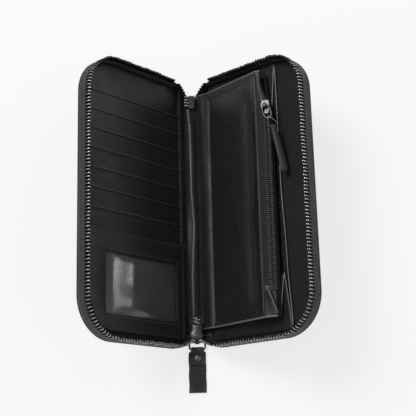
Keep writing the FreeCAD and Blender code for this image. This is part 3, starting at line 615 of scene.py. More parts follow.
LINING = woven("lining_cloth", (0.002, 0.002, 0.0025), (0.018, 0.018, 0.019), 0.45, 0.05)
TAPE = woven("zip_tape", (0.007, 0.009, 0.012), (0.034, 0.042, 0.054), 0.55, 0.2, thread=True)
FLAT_TAPE = woven("zip_tape_flat", (0.004, 0.004, 0.005), (0.036, 0.036, 0.039), 0.62, 0.12)
TAPE_END = woven("zip_tape_end", (0.020, 0.020, 0.022), (0.130, 0.130, 0.132), 0.7, 0.3)
THREAD = woven("sewing_thread", (0.010, 0.010, 0.011), (0.045, 0.045, 0.047), 0.25, 0.4)
BRASS = plated("antique_teeth", (0.035, 0.031, 0.027), (0.42, 0.385, 0.34), 0.3)
# Teeth with worn plating on their edges; their tone also paints shade on the teeth near the top end of the
# spine.
TEETH = plated("teeth_worn_and_painted_shade", (0.03, 0.027, 0.024), (0.50, 0.46, 0.41), 0.3, toned=True)
GUNMETAL = plated("gunmetal", (0.05, 0.048, 0.046), (0.20, 0.19, 0.18), 0.38, brushed=True)
NICKEL = plated("dark_nickel", (0.02, 0.019, 0.018), (0.14, 0.137, 0.13), 0.34)
RIVET = plated("antique_brass", (0.05, 0.037, 0.024), (0.34, 0.27, 0.18), 0.34)
COIL = coil_plastic()
FILM = clear_film()


# ---------------------------------------------------------------- outlines
def corner_drop(distance, radius):
    """How far a rounded corner pulls the outline in, at this distance before its end."""
    if distance >= radius:
        return 0.0
    return radius - math.sqrt(max(0.0, radius ** 2 - (radius - distance) ** 2))


def cover_half(u):
    """Half length of a cover at u, with its rounded corners."""
    near = corner_drop(u, COVER_NOTCH)
    far = corner_drop(COVER_U - u, COVER_CORNER)
    return COVER_V - near - far


def zip_path(step):
    """Points (u, v, heading) along the zip's middle line, from its -v end round to its +v end."""
    turn = math.acos((ZIP_NOTCH - ZIP_START_U) / ZIP_NOTCH)
    small = ZIP_NOTCH * (math.pi / 2 - turn)
    side = ZIP_U - ZIP_CORNER - ZIP_NOTCH
    big = ZIP_CORNER * math.pi / 2
    half = small + side + big + ZIP_V - ZIP_CORNER
    points = []
    for travelled in step(2 * half):
        mirrored = travelled > half
        along = 2 * half - travelled if mirrored else travelled
        if along < small:
            angle = math.pi + turn + along / ZIP_NOTCH
            u, v = ZIP_NOTCH + ZIP_NOTCH * math.cos(angle), ZIP_NOTCH - ZIP_V + ZIP_NOTCH * math.sin(angle)
            heading = angle + math.pi / 2
        elif along < small + side:
            u, v, heading = ZIP_NOTCH + along - small, -ZIP_V, 0.0
        elif along < small + side + big:
            angle = 1.5 * math.pi + (along - small - side) / ZIP_CORNER
            u = ZIP_U - ZIP_CORNER + ZIP_CORNER * math.cos(angle)
            v = ZIP_CORNER - ZIP_V + ZIP_CORNER * math.sin(angle)
            heading = angle + math.pi / 2
        else:
            u, v, heading = ZIP_U, ZIP_CORNER - ZIP_V + along - small - side - big, math.pi / 2
        if mirrored:
            v, heading = -v, math.pi - heading
        points.append((u, v, heading))
    return points


# ---------------------------------------------------------------- outer leather
def outer_leather(side):
    """Half of the outside, from the middle of the spine over the fold to the cover's edge."""
    name = NAMES[side]
    us = spread(0.0, FOLD_X - FOLD_SPAN, 3) + spread(FOLD_X - FOLD_SPAN, FOLD_X + FOLD_SPAN, 14)[1:]
    us += [FOLD_X + u for u in spread(FOLD_SPAN, COVER_U - COVER_CORNER, 26)[1:]]
    us += [FOLD_X + COVER_U - COVER_CORNER * (1 - math.sin(math.pi / 2 * k / 16)) for k in range(1, 17)]

    def edges(t):
        half = SPINE_V if t <= FOLD_X else cover_half(t - FOLD_X)
        if t < FOLD_X + COVER_NOTCH:
            half = max(SPINE_V, half)
        return -half, half

    def faces(t, v):
        half = edges(t)[1]
        inland = ease(half - abs(v), 0, 9) * ease(t - FOLD_X, 4, 16) * ease(COVER_U + FOLD_X - t, 0, 9)
        wobble = 0.25 * noise.noise(Vector((t * 0.03, v * 0.03, side * 4.0)))
        return -LEATHER - (COVER_CROWN + wobble) * inland, 0.0

    piece = slab("outer_leather_" + name, us, spread(0, 1, 44), edges, faces, on_fold(side), OUTER,
                 bevel=0.45, keep=lambda edge: max(abs(v.co.x) for v in edge.verts) > 1e-6)
    place = on_fold(side)
    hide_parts(name + "_outer_leather", *(["spine_leather"] if side == FRONT else []))
    tuple(place(FOLD_X - FOLD_SPAN, 0, 0) * MM)
    tuple(place(FOLD_X + FOLD_SPAN, 0, 0) * MM)
    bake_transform(piece)
    inset = 3.2
    line = []
    for u, v, heading in zip_path(lambda total: spread(6.0, total - 6.0, 150)):
        shift = inset - (COVER_V - ZIP_V)
        line.append((u - shift * math.sin(heading), v + shift * math.cos(heading)))
    stitches = stitch_row("outer_stitches_" + name, line, on_cover(side), -LEATHER - 0.28, THREAD,
                          thick=0.55)
    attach(stitches, name + "_cover")


# ---------------------------------------------------------------- main zip
TAPE_SECTION = [(-0.5, 0.0), (0.5, 0.0), (0.5, 2.4), (0.56, 4.8), (0.85, 5.5), (0.9, 6.2), (0.6, 6.75),
                (0.0, 6.9), (-0.6, 6.75), (-0.9, 6.2), (-0.85, 5.5), (-0.56, 4.8), (-0.5, 2.4)]
TOP_TOOTH_X, TOP_TOOTH_Y, TOP_TOOTH_Z = -3.45, 81.9, 5.55
TOP_TOOTH_COUNT, TOP_TOOTH_PITCH = 4, 2.3
TOP_LOOP_X, TOP_LOOP_Y = (-1.9, 2.3), (79.9, 89.8)
UPPER_ENDS = {FRONT: [(-6.4, 94.2, 7.0), (-4.1, 90.2, 5.9)], BACK: [(6.6, 93.6, 7.2), (4.6, 91.4, 6.2)]}


def run_in(side, sign):
    """Route of a tooth row's middle from the cover's wall to the slider (-1) or to the top stop (+1)."""
    place = on_cover(side)
    u, v, heading = zip_path(lambda total: [0.0])[0]
    away = -Vector((math.cos(heading), math.sin(heading)))
    start = place(u, v, TOOTH_ROW)
    bend = place(u + away.x * 3.5, v + away.y * 3.5, TOOTH_ROW - 0.8)
    x, y, z = SLIDER_MOUTH
    if sign < 0:
        ends = [Vector((side * (x + 3.4), y - 1.8, z + 0.5)), Vector((side * x, y + 0.4, z))]
    else:
        start.y, bend.y = -start.y, -bend.y
        ends = [Vector(point) for point in UPPER_ENDS[side]]
    points = []
    for k in range(13):
        t = k / 12
        a = start.lerp(bend, t)
        b = bend.lerp(ends[0], t)
        c = ends[0].lerp(ends[1], t)
        points.append(a.lerp(b, t).lerp(b.lerp(c, t), t))
    return points


def frames_along(points, first_up, last_up):
    """Stations along a route whose up direction turns from one to another."""
    stations = []
    for k, point in enumerate(points):
        ahead = points[min(k + 1, len(points) - 1)]
        behind = points[max(k - 1, 0)]
        heading = (ahead - behind).normalized()
        up = first_up.lerp(last_up, ease(k / (len(points) - 1))).normalized()
        side = heading.cross(up).normalized()
        stations.append((point, side, side.cross(heading).normalized()))
    return stations


def wall_stations(side):
    """Zip wall round one cover: origin on the cover's inner face, leaning out a touch along the long side."""
    place = on_cover(side)
    stations = []
    for u, v, heading in zip_path(lambda total: spread(0.0, total, 260)):
        out = Vector((math.sin(heading), -math.cos(heading)))
        sway = 0.18 * noise.noise(Vector((u * 0.06, v * 0.06, side * 2.0)))
        origin = place(u + out.x * sway, v + out.y * sway, 0)
        side_dir = place(u + out.x, v + out.y, 0) - place(u, v, 0)
        up = place(u, v, 1) - place(u, v, 0)
        stations.append((origin, side_dir, up))
    return stations


def run_in_stations(side, sign):
    """The tape's stations along the run-in, a tooth's height below the row's middle."""
    place = on_cover(side)
    cover_up = place(0, 0, 1) - place(0, 0, 0)
    last_up = Vector((-side * 0.85, 0, 0.5)).normalized()
    stations = frames_along(run_in(side, sign), cover_up, last_up)
    dropped = []
    for origin, side_dir, up in stations:
        dropped.append((origin - up * TOOTH_ROW, side_dir * side * sign, up))
    return dropped


def run_tape(name, stations, side, sign):
    """Tape of a run-in: its foot stays sewn along the rounded end of the cover and of the spine."""
    fold = on_fold(side)
    last = len(stations) - 1
    sections = []
    for k, (origin, side_dir, up) in enumerate(stations):
        t = FOLD_X + ZIP_START_U - (ZIP_START_U + RUN_IN_REACH) * k / last
        u = t - FOLD_X
        half = max(SPINE_V, cover_half(u)) if u > 0 else SPINE_V
        foot = fold(t, sign * (half - RUN_FOOT_INSET), 0.0)
        head = origin + up * (8.3 if sign > 0 else 6.3)
        lean = (head - foot).normalized()
        ring = []
        for face in (1, -1):
            row = []
            for part in spread(0, 1, 6):
                bulge = 0.5 * math.sin(math.pi * part)
                row.append(foot + (head - foot) * part + side_dir * (0.45 * face + bulge) + lean * 0.3 * part)
            ring += row if face > 0 else row[::-1]
        sections.append(ring)
    return loft(name, sections, TAPE, bevel=0.0)


def zip_tape(side):
    """Tape along the cover's wall, and its two run-ins over the fold."""
    name = NAMES[side]
    piece = sweep(name + "_zip_wall", wall_stations(side), TAPE_SECTION, TAPE)
    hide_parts(name + "_zip_tape")
    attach(piece, name + "_cover")
    fold = on_fold(side)
    for sign, label in ((-1, "lower"), (1, "upper")):
        run = run_tape("%s_zip_tape_%s_run" % (name, label), run_in_stations(side, sign), side, sign)
        tuple(fold(FOLD_X - RUN_BEND_IN, 0, 0) * MM)
        tuple(fold(FOLD_X + RUN_BEND_OUT, 0, TOOTH_ROW) * MM)
        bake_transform(run)


def tooth_template():
    """Cast zip tooth: two legs gripping the tape, a waist, and a head with a nib."""
    bm = bmesh.new()
    flank = [(1.15, TOOTH_LOW), (1.2, 8.0), (0.95, 8.7), (1.1, 9.5), (0.95, 10.4), (0.5, TOOTH_HIGH)]
    outline = [(-1.15, TOOTH_LOW)] + flank + [(-y, z) for y, z in flank[:0:-1]]
    half = 0.43
    rings = [[bm.verts.new((x, y, z)) for y, z in outline] for x in (-half, half)]
    count = len(outline)
    for k in range(count):
        bm.faces.new((rings[0][k], rings[0][(k + 1) % count], rings[1][(k + 1) % count], rings[1][k]))
    bm.faces.new(rings[0])
    bm.faces.new(list(reversed(rings[1])))
    bmesh.ops.recalc_face_normals(bm, faces=bm.faces)
    rim = [edge for edge in bm.edges if edge.calc_face_angle(0.0) > math.radians(60)]
    bmesh.ops.bevel(bm, geom=rim, offset=0.15, segments=2, profile=0.6, affect="EDGES", clamp_overlap=True)
    nib = bmesh.ops.create_uvsphere(bm, u_segments=8, v_segments=5, radius=0.36)
    for vert in nib["verts"]:
        vert.co = Vector((vert.co.x * 1.5, vert.co.y * 1.2, vert.co.z * 0.8 + TOOTH_HIGH - 0.3))
    bmesh.ops.recalc_face_normals(bm, faces=bm.faces)
    return template_from(bm)


def tooth_tone(height, y):
    """A tooth is paler at its head than at its legs; the teeth near the top end of the spine (y 82 to 91) are
    darkened as painted shade.
    """
    return (0.12 + 0.88 * ease(height, 7.9, 9.6)) * (1 - 0.85 * ease(y, 82.0, 91.0))


UPPER_SQUASH = (Matrix.Translation(Z_AXIS * 8.2) @ Matrix.Diagonal((0.95, 0.8, 0.45, 1))
                @ Matrix.Translation(Z_AXIS * -8.2))


def run_in_teeth(side, sign):
    """Placements of the teeth along a run-in; the upper ones sink into the tape."""
    stations = run_in_stations(side, sign)
    middles = [origin + up * TOOTH_ROW for origin, side_dir, up in stations]
    lengths = [0.0]
    for a, b in zip(middles, middles[1:]):
        lengths.append(lengths[-1] + (b - a).length)
    matrices = []
    reach = 0.6 * TOOTH_PITCH
    while reach < lengths[-1] - 0.3:
        k = max(i for i in range(len(lengths) - 1) if lengths[i] <= reach)
        part = (reach - lengths[k]) / (lengths[k + 1] - lengths[k])
        origin, side_dir, up = [a.lerp(b, part) for a, b in zip(stations[k], stations[k + 1])]
        side_dir.normalize()
        up.normalize()
        matrix = axes_matrix(origin, side_dir.cross(up), side_dir, up)
        matrices.append(matrix @ UPPER_SQUASH if sign > 0 else matrix)
        reach += TOOTH_PITCH
    return matrices


def zip_teeth(side):
    """The row of teeth on the cover's wall and the rows on its two run-ins."""
    name = NAMES[side]
    shift = side * TOOTH_PITCH / 4

    def steps(total):
        count = int((total - 2 * TOOTH_PITCH) / TOOTH_PITCH)
        start = (total - count * TOOTH_PITCH) / 2 + shift
        return [start + k * TOOTH_PITCH for k in range(count)]

    place = on_cover(side)
    matrices = []
    for u, v, heading in zip_path(steps):
        ahead = place(u + math.cos(heading), v + math.sin(heading), 0) - place(u, v, 0)
        up = place(u, v, 1) - place(u, v, 0)
        turn = Matrix.Rotation(math.radians(random.uniform(-3, 3)), 4, "Z")
        lean = Matrix.Rotation(math.radians(random.uniform(-2, 2)), 4, "X")
        base = axes_matrix(place(u, v, random.uniform(-0.08, 0.08)), ahead, -ahead.cross(up), up)
        matrices.append(base @ turn @ lean)
    row = scatter(name + "_teeth_row", tooth_template(), matrices, TEETH, tooth_tone)
    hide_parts(name + "_zip_teeth")
    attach(row, name + "_cover")
    fold = on_fold(side)
    for sign, label in ((-1, "lower"), (1, "upper")):
        run = scatter("%s_teeth_%s_run" % (name, label), tooth_template(), run_in_teeth(side, sign), TEETH,
                      tooth_tone)
        tuple(fold(FOLD_X - RUN_BEND_IN, 0, 0) * MM)
        tuple(fold(FOLD_X + RUN_BEND_OUT, 0, TOOTH_ROW) * MM)
        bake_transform(run)


def end_teeth():
    """The meshed teeth beside the slider and the loose stretch at the top of the spine."""
    lower = soften("chain_lower_teeth", "lower_end_teeth", BRASS, 0.25, 50)
    lower_tape = soften("tape_lower_end", "zip_tape_lower_end", FLAT_TAPE, 0.15)
    matrices = []
    for k in range(TOP_TOOTH_COUNT):
        turn = Matrix.Rotation(math.radians(-8 + random.uniform(-3, 3)), 4, "Z")
        middle = Vector((TOP_TOOTH_X, TOP_TOOTH_Y + k * TOP_TOOTH_PITCH, TOP_TOOTH_Z))
        matrices.append(Matrix.Translation(middle) @ turn)
    upper = scatter("chain_upper_teeth", bar_template(1.85, 0.62, 0.75), matrices, BRASS)
    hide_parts("upper_end_teeth")
    sections = []
    for y in spread(TOP_LOOP_Y[0], TOP_LOOP_Y[1], 40):
        drop = 0.5 * ease(y, TOP_LOOP_Y[1] - 1.8, TOP_LOOP_Y[1])
        left, right = TOP_LOOP_X[0] + 0.1 * math.sin(y * 2.0), TOP_LOOP_X[1] + 0.15 * math.sin(y * 0.9)
        bulge = 0.5 * math.sin(math.pi * ease(y, TOP_LOOP_Y[0], TOP_LOOP_Y[1]))
        ring = [(left, 4.9), (left, 5.75 - drop), (left + 0.7, 6.1 - drop + bulge), (0.2, 5.9 - drop + bulge),
                (right - 0.7, 6.0 - drop + bulge), (right, 5.6 - drop), (right, 4.9)]
        sections.append([Vector((x, y, z)) for x, z in ring])
    loop = loft("tape_upper_end", sections, TAPE_END, bevel=0.0)
    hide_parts("zip_tape_upper_end")
    for piece in (lower, lower_tape, upper, loop):
        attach(piece, "spine")


def bar_template(half_x, half_y, half_z):
    """Rounded bar for a tooth that lies flat."""
    bm = bmesh.new()
    bmesh.ops.create_cube(bm, size=2.0)
    for vert in bm.verts:
        vert.co = Vector((vert.co.x * half_x, vert.co.y * half_y, vert.co.z * half_z))
    bmesh.ops.bevel(bm, geom=list(bm.edges), offset=0.3, segments=3, profile=0.6, affect="EDGES")
    return template_from(bm)


# ---------------------------------------------------------------- card side
def covers_inside():
    """Cloth lining of both covers, the hidden boards, and the cloth along the inside of the spine."""
    for name in NAMES.values():
        lining = soften(name + "_lining_cloth", name + "_lining", LINING, 0.2)
        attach(lining, name + "_cover")
        board = soften(name + "_board", name + "_stiffener", LINING, 0.2)
        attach(board, name + "_cover")
    gutter = soften("spine_gutter_cloth", "spine_reinforcement", LINING, 0.15)
    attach(gutter, "spine")


def card_edges(inset=0.0):
    """Function for the sides of the card panel at u, rounded where it meets the zip's corners."""
    def edges(u):
        drop = corner_drop(CARD_U[1] - u, CARD_CORNER)
        return CARD_V[0] + drop + inset, CARD_V[1] - drop - inset
    return edges


def slot_level(index):
    """Low and high face of a card slot: it rises to a turned mouth with a pressed line below it."""
    top_v = SLOT_TOP_V - SLOT_PITCH * index
    low_v = top_v - SLOT_LENGTH

    def faces(u, v):
        rise = BACKING_TOP + 0.05 + (v - low_v) / SLOT_PITCH
        middle = math.sin(math.pi * (u - CARD_U[0]) / (CARD_U[1] - CARD_U[0]))
        near = ease(v, top_v - 9.0, top_v)
        gape = (0.35 + 0.1 * math.sin(index * 2.1 + u * 0.05)) * middle * near
        turned = 0.22 * ease(v, top_v - 1.3, top_v - 0.9)
        pressed = 0.16 * hump(v, top_v - 2.3, 0.35)
        puff = 0.12 * noise.noise(Vector((u * 0.05, v * 0.09, index * 3.7)))
        return rise + gape, rise + SLOT_THICK + gape + turned - pressed + puff * middle
    return faces, low_v, top_v


def card_slots():
    """Seven overlapping slots, each with a rolled mouth."""
    us = spread(CARD_U[0], CARD_U[1], 44)
    for index in range(SLOT_COUNT):
        faces, low_v, top_v = slot_level(index)
        parts = [k / 12 * 0.82 for k in range(13)] + [0.84 + 0.16 * k / 12 for k in range(13)]
        sides = card_edges()

        def edges(u, low_v=low_v, top_v=top_v):
            low, high = sides(u)
            return max(low_v, low), min(top_v, high)

        piece = slab("card_slot_leather_%d" % (index + 1), us, parts, edges, faces, on_cover(FRONT), INNER,
                     bevel=0.2)
        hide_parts("card_slot_%d" % (index + 1))
        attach(piece, "front_cover")
        # Each mouth gets a bead of the paler strip leather: painted highlight along the slot's edge.
        mouth = [on_cover(FRONT)(u, edges(u)[1] - 0.1, faces(u, top_v)[1] - 0.12) for u in us[1:-1]]
        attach(bead("card_slot_mouth_%d" % (index + 1), mouth, 0.3, GLOSSY), "front_cover")


def card_backing():
    """Leather sheet that carries the slots."""
    us = spread(2.0, CARD_U[1] - CARD_CORNER, 24)
    us += [CARD_U[1] - CARD_CORNER * (1 - math.sin(math.pi / 2 * k / 12)) for k in range(1, 13)]

    def faces(u, v):
        puff = 0.1 * noise.noise(Vector((u * 0.04, v * 0.04, 9.0)))
        return 1.42, BACKING_TOP + max(0.0, puff) * ease(v, 74, 80)

    piece = slab("card_panel_backing", us, spread(0, 1, 40), card_edges(), faces, on_cover(FRONT), INNER,
                 bevel=0.12)
    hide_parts("card_backing")
    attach(piece, "front_cover")


def window_surround():
    """Leather panel with the window cut through it: one closed ring between two outlines."""
    place = on_cover(FRONT)
    low_edge = card_edges()
    (u0, u1), (v0, v1) = WINDOW_U, WINDOW_V
    rounding, points = 1.5, []

    stops = 14
    outer, inner = [], []
    for part in spread(0, 1, stops)[:-1]:
        u = CARD_U[0] + (CARD_U[1] - CARD_U[0]) * part
        inner_u = u0 + (u1 - u0) * part
        outer.append((u, low_edge(u)[0]))
        inner.append((inner_u, v0 + corner_drop(min(inner_u - u0, u1 - inner_u), rounding)))
    outer_corners = [(CARD_U[1], low_edge(CARD_U[1])[0]), (CARD_U[1], WINDOW_PANEL_V),
                     (CARD_U[0], WINDOW_PANEL_V), (CARD_U[0], low_edge(CARD_U[0])[0])]
    inner_corners = [(u1, v0), (u1, v1), (u0, v1), (u0, v0)]
    for ring, corners in ((outer, outer_corners), (inner, inner_corners)):
        for (a0, b0), (a1, b1) in zip(corners, corners[1:]):
            ring += [(a0 + (a1 - a0) * part, b0 + (b1 - b0) * part) for part in spread(0, 1, stops)[:-1]]
    rings = 7
    size = len(outer)
    for level in (WINDOW_HIGH, WINDOW_LOW):
        for ring in range(rings):
            part = ring / (rings - 1)
            for (a0, b0), (a1, b1) in zip(inner, outer):
                a, b = a0 + (a1 - a0) * part, b0 + (b1 - b0) * part
                soft = 0.12 * noise.noise(Vector((a * 0.05, b * 0.06, 21.0)))
                plump = 0.35 * math.sin(math.pi * part) + soft
                points.append(place(a, b, level + (plump if level == WINDOW_HIGH else 0)))
    faces = []
    for ring in range(rings - 1):
        for k in range(size):
            a, b = ring * size + k, ring * size + (k + 1) % size
            faces.append((a, b, b + size, a + size))
            low = rings * size
            faces.append((low + a, low + a + size, low + b + size, low + b))
    for ring in (0, rings - 1):
        for k in range(size):
            a, b = ring * size + k, ring * size + (k + 1) % size
            faces.append((a, a + rings * size, b + rings * size, b))
    piece = build("id_window_surround", points, faces, INNER, bevel=0.25, sharp=50)
    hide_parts("id_window_frame")
    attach(piece, "front_cover")
    gap = 1.7    # from the window's edge to its stitches
    loop = [(u0 - gap, v0 - gap), (u1 + gap, v0 - gap), (u1 + gap, v1 + gap), (u0 - gap, v1 + gap),
            (u0 - gap, v0 - gap)]
    top_line = [(CARD_U[0] + 2, WINDOW_PANEL_V - 1.9), (CARD_U[1] - 1.5, WINDOW_PANEL_V - 1.9)]
    for label, corners in (("window", loop), ("panel", top_line)):
        row = stitch_row(label + "_stitches", corners, place, WINDOW_HIGH + 0.24, THREAD)
        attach(row, "front_cover")


def window_film():
    """Soft vinyl that bellies up in the middle and falls away towards the cover's edge."""
    us = spread(WINDOW_U[0] - FILM_MARGIN, WINDOW_U[1] + FILM_MARGIN, 60)
    low_v, high_v = WINDOW_V[0] - FILM_MARGIN, WINDOW_V[1] + FILM_MARGIN

    def faces(u, v):
        inland = ease(min(u - WINDOW_U[0], WINDOW_U[1] - u), -1.0, 7.0)
        inland *= ease(min(v - WINDOW_V[0], WINDOW_V[1] - v), -1.0, 6.0)
        belly = 2.5 * ease(u, WINDOW_U[0], FILM_CREST_U - 6) * (1 - ease(u, FILM_CREST_U, FILM_TURN_U))
        upper = ease(v, -70.0, -58.0)
        slope = 0.55 * hump(u, FILM_CREST_U + 2, 9) * upper
        ripple = 0.14 * noise.noise(Vector((u * 0.09, v * 0.05, 5.0)))
        level = FILM_FLOOR + (belly + slope + ripple) * inland
        return level, level + 0.2

    piece = slab("id_window_vinyl", us, spread(0, 1, 44), lambda u: (low_v, high_v), faces, on_cover(FRONT),
                 FILM, bevel=0.0)
    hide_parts("id_window_film")
    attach(piece, "front_cover")


def card_binding():
    """Turned leather edge beside the spine, stitched, with a flap that reaches into the gutter."""
    place = on_cover(FRONT)

    def faces(u, v):
        wave = 0.18 * math.sin(v * 0.09) + 0.1 * math.sin(v * 0.31 + 1)
        round_off = 0.5 * (2 * abs((u - 2.4) / 3.4)) ** 2
        return 1.82, 4.45 - round_off + wave * 0.4

    piece = slab("card_binding_leather", spread(0.8, 4.15, 8), spread(0, 1, 90), lambda u: CARD_V, faces,
                 place, INNER, bevel=0.25)
    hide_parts("card_edge_binding")
    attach(piece, "front_cover")
    row = stitch_row("binding_stitches", [(2.6, CARD_V[0] + 2), (2.6, CARD_V[1] - 2)], place, 4.52, THREAD,
                     pitch=3.0, length=2.2)
    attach(row, "front_cover")

    def flap_faces(t, v):
        u = t - FOLD_X
        lift = 2.6 - 0.9 * ease(-u, 0, 3.0) + 0.25 * math.sin(v * 0.07 + 2) + 0.15 * math.sin(v * 0.21)
        return lift, lift + 0.7

    flap = slab("card_binding_flap", spread(FOLD_X - 2.6, FOLD_X + 1.0, 8), spread(0, 1, 80),
                lambda t: (-84.0, 86.0), flap_faces, on_fold(FRONT), INNER, bevel=0.2)
    fold = on_fold(FRONT)
    tuple(fold(FOLD_X - 3.4, 0, 0) * MM)
    tuple(fold(FOLD_X + 2.4, 0, 0) * MM)
    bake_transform(flap)


# ---------------------------------------------------------------- spine strip
RIDGE = [(-75.0, -1.5), (-48.0, -1.7), (-30.0, -0.6), (-12.0, 0.5), (20.0, -1.2), (44.0, -1.1), (63.0, -1.3),
         (74.0, -2.4), (79.6, -3.0)]


def spine_strip():
    """Loose shiny leather strip along the spine, with a broad ridge that wanders along it."""
    columns = 22
    points = []
    ys = spread(STRIP_Y[0], STRIP_Y[1], 110)
    for y in ys:
        ridge = along_curve(RIDGE, y)
        x0 = STRIP_X[0] + 0.35 * math.sin(y * 0.05)
        x1 = STRIP_X[1] + 0.3 * math.sin(y * 0.06 + 1)
        for k in range(columns + 1):
            part = k / columns
            x = x0 + (x1 - x0) * part
            arch = 1 - abs(2 * part - 1) ** 2.6
            level = 2.1 + 0.9 * arch + 1.7 * hump(x, ridge, 2.6)
            level += 0.1 * noise.noise(Vector((x * 0.5, y * 0.05, 2.0)))
            points.append(Vector((x, y, min(level, STRIP_TOP + 0.3))))
        for x in (x1, x0):
            points.append(Vector((x, y, 1.62)))
    size = columns + 3
    sections = [points[i * size:(i + 1) * size] for i in range(len(ys))]
    piece = loft("spine_strip", sections, GLOSSY, bevel=0.25)
    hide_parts("spine_lining")
    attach(piece, "spine")


# ---------------------------------------------------------------- back cover: leaf, gussets, pocket root
def leaf_edge(v):
    """Outer edge of the leaf, rounded at both ends and a little wider towards the pull's end."""
    drop = corner_drop(min(v - LEAF_V[0], LEAF_V[1] - v), LEAF_CORNER)
    return along_curve(LEAF_EDGE, v) - drop


def leaf_panel():
    """Flat leather panel behind the coin pocket, with a folded outer edge."""
    def place(part, v, w):
        return on_cover(BACK)(LEAF_START + (leaf_edge(v) - LEAF_START) * part, v, w)

    def faces(part, v):
        wave = 0.35 * noise.noise(Vector((part * 2.1, v * 0.03, 14.0))) * ease(1 - part, 0, 0.3)
        fold = 0.55 * ease(part, 0.978, 0.986)
        return LEAF_LOW, LEAF_HIGH + max(0.0, wave) + fold

    parts = spread(0.0, 0.96, 24) + spread(0.96, 1.0, 8)[1:]
    stops = spread(0, 0.02, 8) + spread(0.02, 0.98, 60)[1:-1] + spread(0.98, 1, 8)
    piece = slab("leaf_leather", parts, stops, lambda part: LEAF_V, faces, place, INNER)
    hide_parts("leaf_panel")
    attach(piece, "back_cover")
    # Rolled outer edge of the leaf in paler leather: painted highlight along it.
    rim = [on_cover(BACK)(leaf_edge(v) - 0.15, v, LEAF_HIGH + 0.25)
           for v in spread(LEAF_V[0] + LEAF_CORNER, LEAF_V[1] - LEAF_CORNER, 60)]
    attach(bead("leaf_edge_bead", rim, 0.5, RIM), "back_cover")
    line = [(leaf_edge(v) - 2.6, v) for v in spread(-84, 85, 6)]
    row = stitch_row("leaf_stitches", line, on_cover(BACK), LEAF_HIGH + 0.2, THREAD)
    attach(row, "back_cover")


GUSSET_DEPTH = {-1: 33.0, 1: 34.0}


def rear_top(p):
    """Height of the pocket's rear wall: it falls away from the front panel."""
    return -1.0 - REAR_DROP * p


def gusset(sign):
    """Accordion side between the pocket's end and the leaf's end: one thin sheet folded inward in a V."""
    seam = -SEAM_V - 0.5 if sign < 0 else PANEL_V[1] + 2.0
    leaf_end = -LEAF_V[0] - 0.7 if sign < 0 else LEAF_V[1] - 0.9
    thick = 0.45
    rows, columns = 30, 20
    tops, bottoms = [], []
    leaf_out = leaf_edge(sign * (leaf_end - 3.0)) - 0.7
    out_dir = on_cover(BACK)(1, 0, 0) - on_cover(BACK)(0, 0, 0)
    for i in range(rows + 1):
        part = i / rows
        p = 2.0 + (rear_reach(sign * seam) - 3.2) * part
        leaf_u = 6.5 + (leaf_out - 6.5) * part
        deep = GUSSET_DEPTH[sign] * ease(part, 0.42, 1.05)
        near = on_pocket(p, sign * seam, rear_top(p) - 1.0)
        far = on_cover(BACK)(leaf_u, sign * leaf_end, LEAF_HIGH + 0.5)
        line = []
        for j in range(columns + 1):
            across = j / columns
            inward = deep * (1 - abs(2 * across - 1) ** 1.12) * (1 + 0.02 * math.sin(i * 0.7))
            point = near.lerp(far, across)
            point.y -= sign * inward
            line.append(point)
        tops += line
        for j, point in enumerate(line):
            ahead = line[min(j + 1, columns)] - line[max(j - 1, 0)]
            bottoms.append(point + ahead.cross(out_dir).normalized() * thick * sign)
    count = len(tops)
    width = columns + 1
    faces = []
    for i in range(rows):
        for j in range(columns):
            a = i * width + j
            faces.append((a, a + 1, a + width + 1, a + width))
            faces.append((count + a, count + a + width, count + a + width + 1, count + a + 1))
    rim = list(range(width)) + [i * width + columns for i in range(1, rows + 1)]
    rim += [rows * width + j for j in range(columns - 1, -1, -1)]
    rim += [i * width for i in range(rows - 1, 0, -1)]
    for a, b in zip(rim, rim[1:] + rim[:1]):
        faces.append((a, b, count + b, count + a))
    label = "lower" if sign < 0 else "upper"
    piece = build("gusset_" + label, tops + bottoms, faces, INNER, bevel=0.1)
    if sign < 0:
        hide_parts("gusset_leaf_flaps", "gusset_pocket_flaps")
    # Rolled edge of the V in paler leather: painted highlight along it.
    rolled = bead("gusset_edge_" + label, line, 0.5, RIM)
    start = on_cover(BACK)(60, 0, LEAF_HIGH)
    end = on_pocket(58, 0, rear_top(58))
    for sheet in (piece, rolled):
        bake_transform(sheet)


ROOT_RIDGE_X = [(-84.0, 9.0), (0.0, 8.6), (60.0, 7.5), (88.0, 7.0)]


def pocket_root():
    """Leather that carries the pocket's front panel over the fold to the strip on the spine."""
    inner = Vector((STRIP_X[1] + 0.2, 0, 2.2))
    outer = on_pocket(6.0, 0, 0.1)
    up = Vector((-0.6, 0, 0.8))
    sections = []
    columns = 20
    for v in spread(SEAM_V, HEM_V[1], 120):
        ridge = along_curve(ROOT_RIDGE_X, v)
        top = []
        for part in spread(0, 1, columns):
            point = inner.lerp(outer, part) + Y_AXIS * v
            lift = 1.2 * hump(point.x, ridge, 3.0) - 0.5 * math.sin(math.pi * part) ** 2
            lift -= 0.3 * hump(v, 85.4, 0.5) + 0.9 * ease(part, 0.7, 1.0)
            lift += 0.15 * noise.noise(Vector((part * 2, v * 0.05, 8.0))) * math.sin(math.pi * part)
            top.append(point + up * lift)
        sections.append(top + [point - up * 0.8 for point in reversed(top)])
    piece = loft("pocket_root_leather", sections, INNER, bevel=0.25)
    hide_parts("pocket_spine_tab")
    sheets = [piece]
    # Both ends of the root get a rolled edge in paler leather: painted highlight along them.
    for label, section, shift in (("lower", sections[0], 0.3), ("upper", sections[-1], -0.3)):
        edge = [point + Y_AXIS * shift for point in section[:columns + 1]]
        sheets.append(bead("pocket_root_%s_edge" % label, edge, 0.5, RIM))
    for sheet in sheets:
        tuple(on_pocket(0, 0, 0) * MM)
        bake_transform(sheet)


